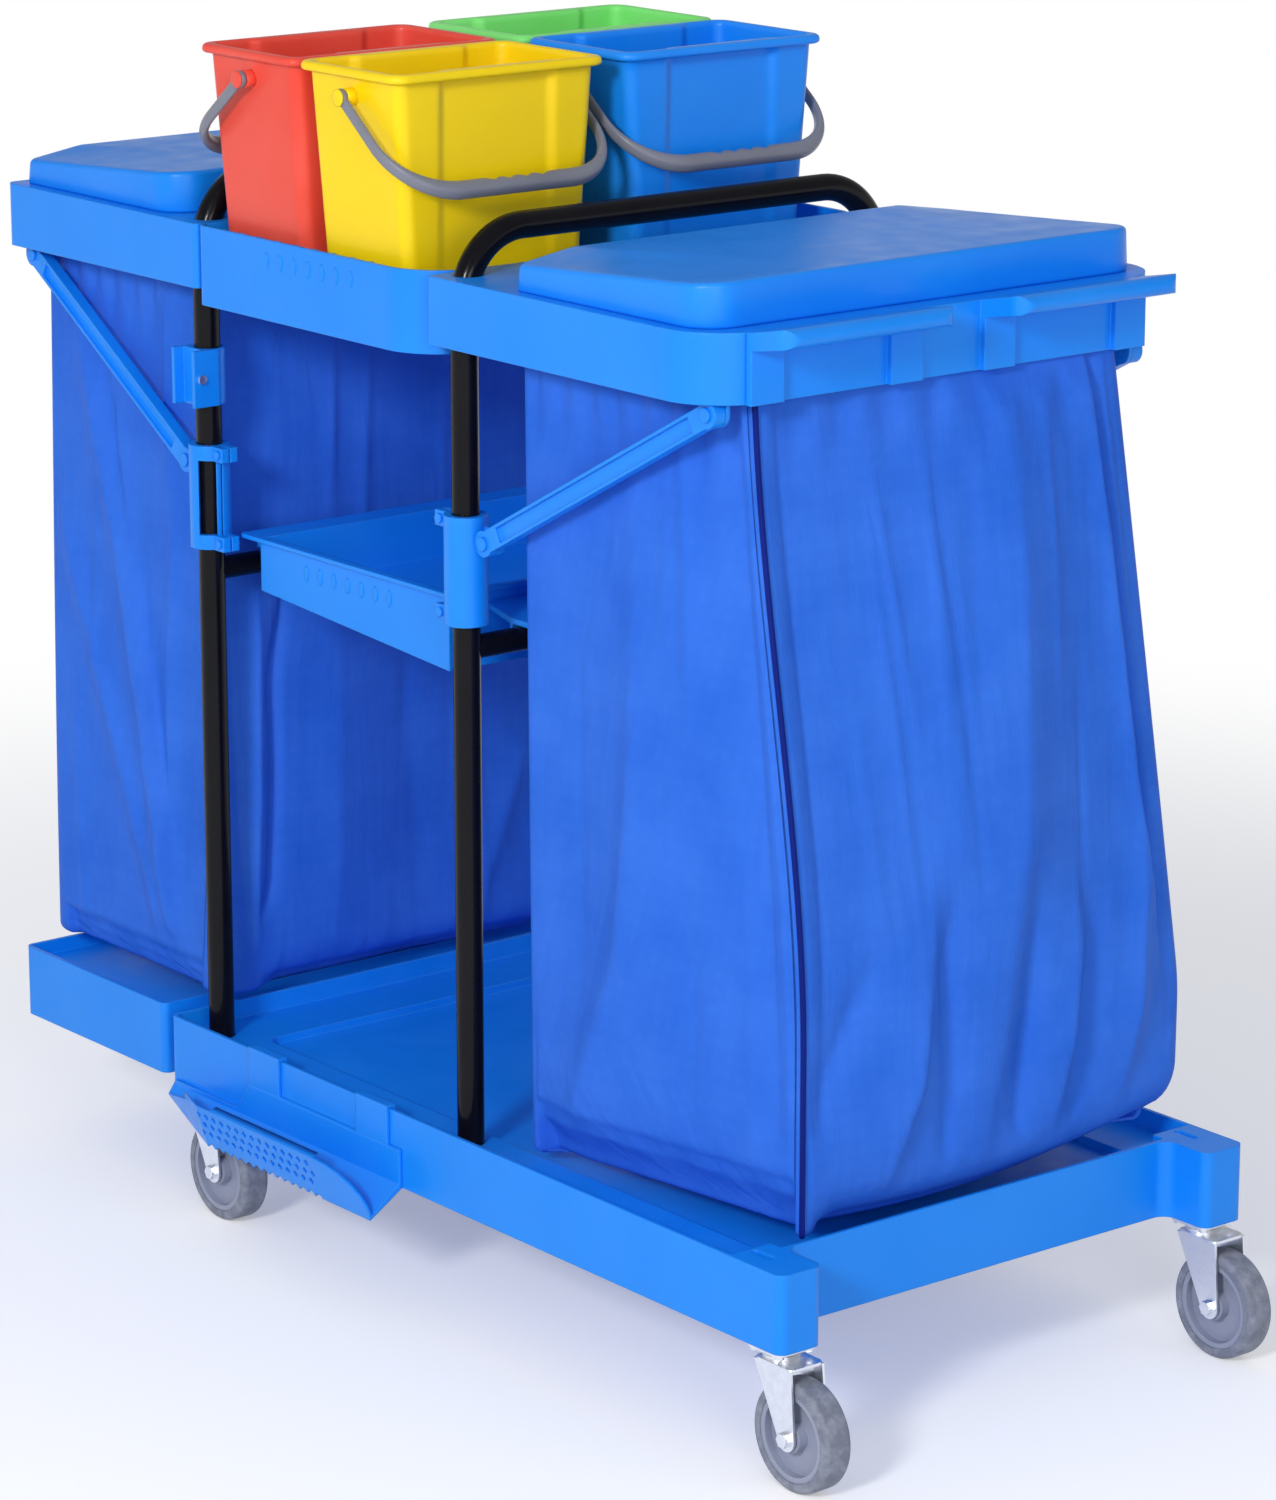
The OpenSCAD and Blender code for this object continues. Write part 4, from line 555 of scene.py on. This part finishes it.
rear_mouth = [(-3, 14), (-5, -14), (2, -14), (-2, 3.5)]
rear_foot = [(3, 9, 2), (9, -6, 2), (-6, -2, 5), (-24, -4, 9)]
rear_folds = [
    # Fore side: a sharp pair at the near edge, and broad soft swells beyond
    (FORE, (14, 16), (0.45, 0.09, 0), (0.54, 0.081, 10), (0.75, 0.054, 13), (0.85, 0.034, 10),
     (0.95, 0.03, 4)),
    (FORE, (5, 9), (0.42, 0.19, 0), (0.52, 0.16, -10), (0.6, 0.114, -13), (0.71, 0.112, -13),
     (0.87, 0.08, -12), (0.93, 0.02, 0)),
    (FORE, (60, 60), (0.4, 0.33, 0), (0.64, 0.32, 10), (0.84, 0.29, 12), (0.97, 0.26, 5)),
    (FORE, (60, 60), (0.4, 0.55, 0), (0.66, 0.55, -8), (0.93, 0.55, -8), (1.0, 0.55, -4)),
    (FORE, (26, 22), (0.7, 0.92, 0), (0.79, 0.858, 9), (0.89, 0.776, 9), (0.97, 0.72, 3)),
    (FARSIDE, (40, 22), (0.1, 0.22, 0), (0.5, 0.24, 9), (0.9, 0.25, 6)),
    (FARSIDE, (26, 30), (0.1, 0.5, 0), (0.5, 0.48, -9), (0.95, 0.46, -8)),
    (FARSIDE, (36, 26), (0.05, 0.8, 3), (0.5, 0.78, 8), (0.95, 0.76, 4)),
    (AFT, (36, 26), (0.1, 0.22, 0), (0.5, 0.22, 8), (0.95, 0.24, 6)),
    (AFT, (26, 34), (0.1, 0.48, 0), (0.5, 0.48, -9), (0.95, 0.5, -8)),
    (AFT, (40, 28), (0.05, 0.76, 3), (0.5, 0.74, 8), (0.95, 0.72, 6)),
    # Near side: long creases that slant down towards the fore corner, and two upright ones
    (NEARSIDE, (22, 14), (0.12, 0.13, 0), (0.26, 0.256, 9), (0.53, 0.511, 12), (0.83, 0.741, 9),
     (0.95, 0.80, 3)),
    (NEARSIDE, (16, 12), (0.2, 0.36, 0), (0.32, 0.437, 9), (0.61, 0.616, 10), (0.86, 0.786, 8),
     (0.95, 0.82, 3)),
    (NEARSIDE, (18, 14), (0.4, 0.03, 0), (0.49, 0.107, 6), (0.64, 0.305, 9), (0.83, 0.559, 9),
     (0.966, 0.738, 3)),
    (NEARSIDE, (14, 14), (0.04, 0.79, 4), (0.09, 0.786, 8), (0.28, 0.767, 8), (0.4, 0.76, 0)),
    (NEARSIDE, (26, 18), (0.32, 0.80, 0), (0.45, 0.80, 8), (0.63, 0.77, 10), (0.87, 0.764, 8),
     (0.95, 0.77, 3)),
    (NEARSIDE, (16, 16), (0.15, 0.26, 0), (0.26, 0.351, -8), (0.52, 0.581, -9), (0.80, 0.789, -8),
     (0.92, 0.85, 0)),
]
rear_bag, _ = bag(
    "rear_bag_cloth", "rear_bag", rear_mouth, rear_foot, ((8, 20, 26, 12), (34, 26, 34, 34)), rear_flare,
    rear_folds, {"height": 26, "turn": 10, "round": 30, "sag": 0}, seed=23)


# Lids: wedge shells with softly rounded edges, two creases in the top and two hinge knuckles

LID_LENGTH, LID_WALL, LID_EDGE, LID_THIN = 263.0, 3.0, 4.5, 32.0
LID_HINGE_CORNER, LID_FREE_CORNER = 12.0, 36.0
# How far the walls draw in towards the top, and the chamfer of the rim with its share of the height
LID_DRAFT, RIM_CHAMFER, CHAMFER_SHARE = 1.5, 0.8, 0.06
KNUCKLE_R, KNUCKLE_WIDTH, KNUCKLE_OFF = 6.3, 20.0, 150.0
# Fall of the top beyond its creases, and their distance from the middle at the hinge and at the free end
CROWN, CREASE_WIDE, CREASE_NARROW = 10.0, 190.0, 92.0


def rounded_plan(half_length, half_width, rear_radius, front_radius, arc=12, ends=30, sides=72):
    """A closed rounded rectangle about the origin: four arcs, points even along each side between them."""
    turn = np.linspace(0, np.pi / 2, arc)
    corners = []
    for sx, sy, start in ((1, 1, 0.0), (-1, 1, 0.5), (-1, -1, 1.0), (1, -1, 1.5)):
        r = front_radius if sx > 0 else rear_radius
        corners.append(np.stack([sx * (half_length - r) + r * np.cos(turn + start * np.pi),
                                 sy * (half_width - r) + r * np.sin(turn + start * np.pi)], axis=-1))
    line = []
    for k, count in enumerate((ends, sides, ends, sides)):
        step = np.linspace(0, 1, count + 1, endpoint=False)[1:, None]
        line += [corners[k], corners[k][-1] * (1 - step) + corners[(k + 1) % 4][0] * step]
    return np.concatenate(line)


def drawn_in(ring, count):
    """Rings from a flat outline to its middle, the first of them left out."""
    return [ring * (1 - inward) for inward in np.linspace(0, 1, count)[1:]]


def bar(section, y0, y1):
    """A straight bar: an outline in x and z carried from y0 to y1, with its ends closed to their middles."""
    middle = section.mean(axis=0)[None] + 0 * section
    rows = [(middle, y0), (section, y0), (section, y1), (middle, y1)]
    return np.stack([np.column_stack([line[:, 0], np.full(len(line), y), line[:, 1]]) for line, y in rows])


def lid_top(line, half, thick):
    """Height of a lid's top above its rim: a wedge whose sides fall away from two creases.

    The creases start near the hinge corners and draw together towards the free end."""
    along = line[:, 0] / LID_LENGTH + 0.5
    crease = CREASE_WIDE + (CREASE_NARROW - CREASE_WIDE) * along
    beyond = np.clip((np.abs(line[:, 1]) - crease) / (half - crease), 0, 1)
    return LID_THIN + (thick - LID_THIN) * along - CROWN * (1 - along) * beyond


def lid_rows(insets, lifts, falls, half, thick):
    """Rings of a lid's outline drawn in by each inset, at a share of the top's height less a fall."""
    rings = []
    for inset, lift, fall in zip(insets, lifts, falls):
        line = rounded_plan(LID_LENGTH / 2 - inset, half - inset, max(LID_HINGE_CORNER - inset, 2),
                            LID_FREE_CORNER - inset)
        rings.append(np.column_stack([line, lift * (lid_top(line, half, thick) - fall)]))
    return rings


def lid(node, hinge):
    """A lid: its shell, from the underside's middle over rim and edge to the top's middle, and knuckles."""
    low, high = millimetres(node)
    half, thick = (high[1] - low[1]) / 2, high[2] - low[2]
    middle = np.array([high[0] - LID_LENGTH / 2, (low[1] + high[1]) / 2, low[2]])
    turn = np.linspace(0, np.pi / 2, 7)
    outer = lid_rows([RIM_CHAMFER, 0.0, *(LID_EDGE * (1 - np.cos(turn)) + LID_DRAFT)],
                     [0, CHAMFER_SHARE] + [1] * len(turn), [0, 0, *(LID_EDGE * (1 - np.sin(turn)))],
                     half, thick)
    outer += [np.column_stack([line, lid_top(line, half, thick)])
              for line in drawn_in(outer[-1][:, :2], 30)]
    inner = lid_rows([LID_WALL, LID_WALL], [0, 1], [0, LID_WALL], half, thick)
    inner += [np.column_stack([line, lid_top(line, half, thick) - LID_WALL])
              for line in drawn_in(inner[-1][:, :2], 16)]
    parts = [np.stack(inner[::-1] + outer) + middle]
    x, z = hinge[0] / MM, hinge[2] / MM
    wall_x = middle[0] - LID_LENGTH / 2 + LID_WALL / 2
    turn = np.linspace(0, 2 * np.pi, 32, endpoint=False)
    eye = np.column_stack([x + KNUCKLE_R * np.cos(turn), z + KNUCKLE_R * np.sin(turn)])
    web = rounded_plan((wall_x - x) / 2, KNUCKLE_R / 2, 0.5, 0.5, arc=3, ends=2, sides=2)
    web += [(wall_x + x) / 2, z + KNUCKLE_R / 2]
    for s in (NEAR, FAR):
        y0 = middle[1] + s * KNUCKLE_OFF - KNUCKLE_WIDTH / 2
        parts += [bar(eye, y0, y0 + KNUCKLE_WIDTH), bar(web, y0, y0 + KNUCKLE_WIDTH)]
    return parts


pivot = {joint["name"]: joint.get("pos_m") for joint in frame["joints"]}
for end in ("front", "rear"):
    made = piece(f"{end}_lid_shell", lid(f"{end}_lid", pivot[f"{end}_lid_hinge"]), finishes["blue_plastic"])
    stands_for(made, f"{end}_lid")


# Buckets: tapered tubs with a rolled rim, sunk panels in the long sides and a bail stud on each short side

BUCKET_WALL, BUCKET_CORNER, LIP_OUT, LIP_TALL = 3.0, 14.0, 8.0, 8.5
BASE_LENGTH, BASE_WIDTH = 128.0, 190.0
PANEL_WIDTH, PANEL_STEP, PANEL_DIP = 112.0, 12.0, 6.0
STUD_R, STUD_HEAD, STUD_HEAD_T, STUD_PAST_RIM = 5.0, 8.0, 2.0, 8.8
BAIL_GAP, BAIL_T, BAIL_W, BAIL_REACH, BAIL_BEND = 1.5, 5.0, 11.0, 124.0, 62.0
GRIP_T, GRIP_W, GROOVES, GROOVE_PITCH, GROOVE_DEEP = 16.0, 15.0, 4, 18.0, 4.0
# A section between a circle (1) and a square, the spread of a finger groove and the chamfer of an eye
SQUARING, GROOVE_WIDE, EYE_CHAMFER = 0.75, 5.5, 0.8
BAIL_REST_GAP = 8.0
# The way along x in which each bucket's bail hangs
BAIL_WAY = {"red": -1, "yellow": 1, "green": -1, "blue": 1}


def tub_rows(rows, half_length, half_width, height):
    """Rings of a bucket: each row gives a height, how far it stands off the wall and its share of panel."""
    rings = []
    for z, off, sunk in rows:
        share = min(max(z / (height - LIP_TALL), 0), 1)
        length = BASE_LENGTH / 2 + (half_length - LIP_OUT - BASE_LENGTH / 2) * share + off
        width = BASE_WIDTH / 2 + (half_width - LIP_OUT - BASE_WIDTH / 2) * share + off
        radius = max(BUCKET_CORNER - LIP_OUT / 4 + off / 2, 4)
        line = rounded_plan(length, width, radius, radius, ends=22, sides=80)
        panel = 1 - smooth((np.abs(line[:, 1]) - PANEL_WIDTH / 2) / PANEL_STEP)
        line[:, 0] -= np.sign(line[:, 0]) * PANEL_DIP * share * sunk * panel
        rings.append(np.column_stack([line, np.full(len(line), z)]))
    return rings


def bucket(node, stud_z):
    """A bucket: its shell from the middle of the base over the rolled rim to the floor, and two studs."""
    low, high = millimetres(node)
    middle = (low + high) / 2
    half_length, half_width = (high[0] - low[0]) / 2, (high[1] - low[1]) / 2 - STUD_PAST_RIM
    tall = high[2] - low[2]
    under = tall - LIP_TALL
    t = BUCKET_WALL
    outer = [(0, -5, 0), (0.6, -2.4, 0), (2.4, -0.6, 0), (5, 0, 1)]
    outer += [(z, 0, 1) for z in np.linspace(12, under - 1.5, 24)]
    rim = [(under - 0.4, 0.6, 1), (under, 2.0, 0.8), (under + 0.2, LIP_OUT - 2, 0),
           (under + 1.2, LIP_OUT - 0.5, 0), (under + 2.5, LIP_OUT, 0), (tall - 4, LIP_OUT, 0),
           (tall - 1.6, LIP_OUT - 0.8, 0), (tall - 0.3, LIP_OUT - 2.6, 0), (tall, LIP_OUT - 4.5, 0.2),
           (tall, 1.5, 0.8), (tall - 0.6, -t + 1.2, 1), (tall - 2.4, -t + 0.2, 1), (tall - 5, -t, 1)]
    inner = [(z, -t, 1) for z in np.linspace(under, 14, 24)]
    inner += [(7, -t - 1.2, 0), (4, -t - 4, 0), (t, -t - 8, 0)]
    rings = tub_rows(outer + rim + inner, half_length, half_width, tall)
    foot = [np.column_stack([line, np.zeros(len(line))]) for line in drawn_in(rings[0][:, :2], 6)]
    floor = [np.column_stack([line, np.full(len(line), t)]) for line in drawn_in(rings[-1][:, :2], 6)]
    parts = [np.stack(foot[::-1] + rings + floor) + [middle[0], middle[1], low[2]]]
    wall = half_width - LIP_OUT - BUCKET_WALL / 2 - LIP_OUT / 4
    stops = half_width + BAIL_GAP / 2
    head = half_width + STUD_PAST_RIM - STUD_HEAD_T
    steps = np.array([(wall, STUD_HEAD), (stops - 0.6, STUD_HEAD), (stops, STUD_HEAD - 0.6),
                      (stops + 0.01, STUD_R), (head, STUD_R), (head + 0.01, STUD_HEAD - 0.4),
                      (head + 0.5, STUD_HEAD), (head + STUD_HEAD_T - 0.6, STUD_HEAD),
                      (head + STUD_HEAD_T, STUD_HEAD - 1.2)])
    for s in (NEAR, FAR):
        line = np.column_stack([np.full(len(steps), middle[0]), middle[1] + s * steps[:, 0],
                                np.full(len(steps), stud_z)])
        parts.append(tube(line, steps[:, 1], sides=24))
    return parts


def bail_line(side_y):
    """Half a bail's centre line from pivot to grip, with the turn there and the share of the grip's size."""
    start = BAIL_REACH - BAIL_BEND
    turn = np.linspace(0, np.pi / 2, 26)
    arm_x = np.linspace(0, start, 10)[:-1]
    arm = np.column_stack([arm_x, np.full_like(arm_x, side_y), 0 * arm_x, 0 * arm_x])
    bend = np.column_stack([start + BAIL_BEND * np.sin(turn), side_y - BAIL_BEND + BAIL_BEND * np.cos(turn),
                            turn, np.sin(turn) ** 2])
    grip_y = np.linspace(side_y - BAIL_BEND, 0, 40)[1:]
    grip = np.column_stack([np.full_like(grip_y, BAIL_REACH), grip_y, np.full_like(grip_y, np.pi / 2),
                            np.ones_like(grip_y)])
    return np.concatenate([arm, bend, grip])


def bail(sx, centre, half_width, hang):
    """A bail: a squared-off round section carried along its U, thin at the pivots, grooved at the grip."""
    side_y = half_width + BAIL_GAP + BAIL_T / 2
    half = bail_line(side_y)
    other = half[-2::-1] * [1, -1, 1, 1]
    other[:, 2] = np.pi - other[:, 2]
    x, y, turn, share = np.concatenate([half, other]).T[:, :, None]
    around = np.linspace(0, 2 * np.pi, 24, endpoint=False)[None]
    cos, sin = np.cos(around), np.sin(around)
    u = (BAIL_T + (GRIP_T - BAIL_T) * share) / 2 * np.sign(cos) * np.abs(cos) ** SQUARING
    v = (BAIL_W + (GRIP_W - BAIL_W) * share) / 2 * np.sign(sin) * np.abs(sin) ** SQUARING
    places = (np.arange(GROOVES) - (GROOVES - 1) / 2) * GROOVE_PITCH
    groove = np.exp(-((y[..., None] - places) / GROOVE_WIDE) ** 2).sum(axis=-1) * (share > 0.99)
    u = np.where(u < 0, u * (1 - groove * 2 * GROOVE_DEEP / GRIP_T), u)
    rows = np.stack([x + u * np.sin(turn), y + u * np.cos(turn), v + 0 * x], axis=-1)
    rows = np.concatenate([rows[:1].mean(axis=1, keepdims=True) + 0 * rows[:1], rows,
                           rows[-1:].mean(axis=1, keepdims=True) + 0 * rows[-1:]])
    parts = [rows]
    eye_r = BAIL_W / 2 + BAIL_T / 2
    c = EYE_CHAMFER
    steps = np.array([(-BAIL_T / 2, eye_r - c), (-BAIL_T / 2 + c, eye_r), (BAIL_T / 2 - c, eye_r),
                      (BAIL_T / 2, eye_r - c)])
    for s in (NEAR, FAR):
        line = np.column_stack([0 * steps[:, 0], s * side_y + steps[:, 0], 0 * steps[:, 0]])
        parts.append(tube(line, steps[:, 1], sides=28))
    turned = []
    for part in parts:
        px, py, pz = part[..., 0], part[..., 1], part[..., 2]
        turned.append(np.stack([sx * (px * math.cos(hang) + pz * math.sin(hang)), py,
                                pz * math.cos(hang) - px * math.sin(hang)], axis=-1) + centre)
    return turned


arch_top = millimetres("rear_arch")[1][2]
for tone, sx in BAIL_WAY.items():
    centre = np.array(pivot[f"{tone}_bail_hinge"]) / MM
    low, high = millimetres(f"{tone}_bucket")
    half_width = (high[1] - low[1]) / 2 - STUD_PAST_RIM
    skin = finishes[slot_of[f"{tone}_bucket"]]
    made = piece(f"{tone}_bucket_tub", bucket(f"{tone}_bucket", centre[2]), skin)
    stands_for(made, f"{tone}_bucket")
    over_arch = math.asin((centre[2] - arch_top - BAIL_REST_GAP - GRIP_T / 2) / BAIL_REACH)
    off_wall = math.acos(((high[0] - low[0]) / 2 + GRIP_T / 2 + BAIL_REST_GAP) / BAIL_REACH)
    bow = bail(sx, centre, half_width, min(over_arch, off_wall))
    made = piece(f"{tone}_bail_bow", bow, finishes["grey_plastic"])
    stands_for(made, f"{tone}_bail")


# Ribs: rows of short raised ribs on the near walls of the two trays, just under their rims

RIBS, RIB_PITCH, RIB_HALF = 7, 22.0, np.array([4.0, 1.6, 8.0])


def rib_row(tray, along, below, behind):
    """A row of ellipsoids half sunk in a tray's near wall, each a ball stretched to a rib's half sizes.

    The row's middle lies at a share along the tray, below its rim and behind its nearest face."""
    low, high = millimetres(tray)
    polar = np.linspace(0, np.pi, 13)[:, None]
    turn = np.linspace(0, 2 * np.pi, 20, endpoint=False)[None]
    ball = np.stack([np.sin(polar) * np.cos(turn), np.sin(polar) * np.sin(turn), np.cos(polar) + 0 * turn],
                    axis=-1) * RIB_HALF
    middle = np.array([low[0] + along * (high[0] - low[0]), low[1] + behind, high[2] - below])
    steps = (np.arange(RIBS) - (RIBS - 1) / 2) * RIB_PITCH
    made = piece(f"{tray}_ribs", [ball + middle + [step, 0, 0] for step in steps], finishes["blue_plastic"])
    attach(made, "cart")


rib_row("top_tray", along=0.5, below=22.0, behind=0.0)
rib_row("mid_tray", along=0.48, below=22.0, behind=5.0)


# Stage, light and camera

# Half the floor's side, and the distances from the cart between which it turns into plain white, in metres
FLOOR_HALF, WHITE_FROM, WHITE_AT = 40.0, 1.2, 2.6
# Lamps: name, place and size in metres, power in watts
LAMPS = (("key", (2.5, -4.6, 2.9), 0.9, 150), ("fill", (4.6, -2.2, 1.8), 1.6, 46),
         ("side", (-2.4, -4.6, 2.2), 2.0, 8))
LAMPS_AIM = (0.0, 0.0, 0.6)
# Camera: place and aim in metres, focal length and sensor width in millimetres
EYE, AIM, LENS, SENSOR = (3.7155, -2.8959, 1.7445), (0.0366, 0.0300, 0.4979), 124.15, 36.0


def seen_rays(tree):
    """Sockets that tell a ray from the camera, and one from the camera or from a reflection."""
    path = add(tree, "ShaderNodeLightPath")
    direct = path.outputs["Is Camera Ray"]
    seen = add(tree, "ShaderNodeMath", {0: direct, 1: path.outputs["Is Glossy Ray"]}, operation="MAXIMUM")
    return direct, seen.outputs["Value"]


def pale_floor():
    """A pale floor that keeps the cart's shadow, and looks plain white further off."""
    finish, tree = blank("painted_floor_white")
    _, seen = seen_rays(tree)
    place = add(tree, "ShaderNodeTexCoord").outputs["Object"]
    away = add(tree, "ShaderNodeVectorMath", {0: place}, operation="LENGTH").outputs["Value"]
    far = add(tree, "ShaderNodeMapRange", {"Value": away, "From Min": WHITE_FROM, "From Max": WHITE_AT},
              interpolation_type="SMOOTHSTEP").outputs["Result"]
    matt = add(tree, "ShaderNodeBsdfDiffuse", {"Color": linear("F2F2F2")}).outputs["BSDF"]
    dim = add(tree, "ShaderNodeEmission", {"Color": linear("FFFFFF"), "Strength": 0.3}).outputs["Emission"]
    near_cart = add(tree, "ShaderNodeAddShader", {0: matt, 1: dim}).outputs["Shader"]
    white = add(tree, "ShaderNodeEmission", {"Color": linear("FFFFFF"), "Strength": 1.0}).outputs["Emission"]
    shown = add(tree, "ShaderNodeMixShader", {"Fac": far, 1: near_cart, 2: white}).outputs["Shader"]
    mixed = add(tree, "ShaderNodeMixShader", {"Fac": seen, 1: matt, 2: shown}).outputs["Shader"]
    add(tree, "ShaderNodeOutputMaterial", {"Surface": mixed})
    mesh = bpy.data.meshes.new("floor")
    half = FLOOR_HALF
    corners = [(-half, -half, 0), (half, -half, 0), (half, half, 0), (-half, half, 0)]
    mesh.from_pydata(corners, [], [(0, 1, 2, 3)])
    mesh.materials.append(finish)
    floor = bpy.data.objects.new("floor", mesh)
    bpy.context.scene.collection.objects.link(floor)


def surround():
    """A soft pale surround. Reflections show it white at the horizon, with a dimmer ceiling above."""
    world = bpy.data.worlds.new("studio")
    bpy.context.scene.world = world
    world.use_nodes = True
    tree = world.node_tree
    tree.nodes.clear()
    direct, seen = seen_rays(tree)
    way = add(tree, "ShaderNodeTexCoord").outputs["Generated"]
    up = add(tree, "ShaderNodeSeparateXYZ", {"Vector": way}).outputs["Z"]
    height = {"Value": up, "From Min": 0.04, "From Max": 0.3, "To Min": 1.0, "To Max": 0.35}
    ceiling = add(tree, "ShaderNodeMapRange", height, interpolation_type="SMOOTHSTEP").outputs["Result"]
    shown = add(tree, "ShaderNodeMath", {0: direct, 1: ceiling}, operation="MAXIMUM").outputs["Value"]
    soft = add(tree, "ShaderNodeBackground", {"Color": linear("F4F7FF"), "Strength": 0.48})
    white = add(tree, "ShaderNodeBackground", {"Color": linear("FFFFFF"), "Strength": shown})
    both = add(tree, "ShaderNodeMixShader", {"Fac": seen, 1: soft.outputs["Background"],
                                             2: white.outputs["Background"]})
    add(tree, "ShaderNodeOutputWorld", {"Surface": both.outputs["Shader"]})


def place_towards(made, place, aim):
    """Link a lamp or camera to the scene at a place, turned so that it looks at a point."""
    made.location = place
    made.rotation_euler = (Vector(aim) - Vector(place)).to_track_quat("-Z", "Y").to_euler()
    bpy.context.scene.collection.objects.link(made)


def lamps():
    """Square area lamps, all turned to the cart's middle."""
    for name, place, size, watts in LAMPS:
        lamp = bpy.data.lights.new(name, "AREA")
        lamp.energy, lamp.size = watts, size
        place_towards(bpy.data.objects.new(name, lamp), place, LAMPS_AIM)


def photo_camera():
    """A camera at the photograph's viewing angle, worked out from the cart's parallel edges."""
    view = bpy.data.cameras.new("photo")
    view.lens, view.sensor_width = LENS, SENSOR
    view.clip_end = 200.0
    holder = bpy.data.objects.new("photo", view)
    place_towards(holder, EYE, AIM)
    bpy.context.scene.camera = holder


pale_floor()
surround()
lamps()
photo_camera()
bpy.context.scene.view_settings.view_transform = "Standard"
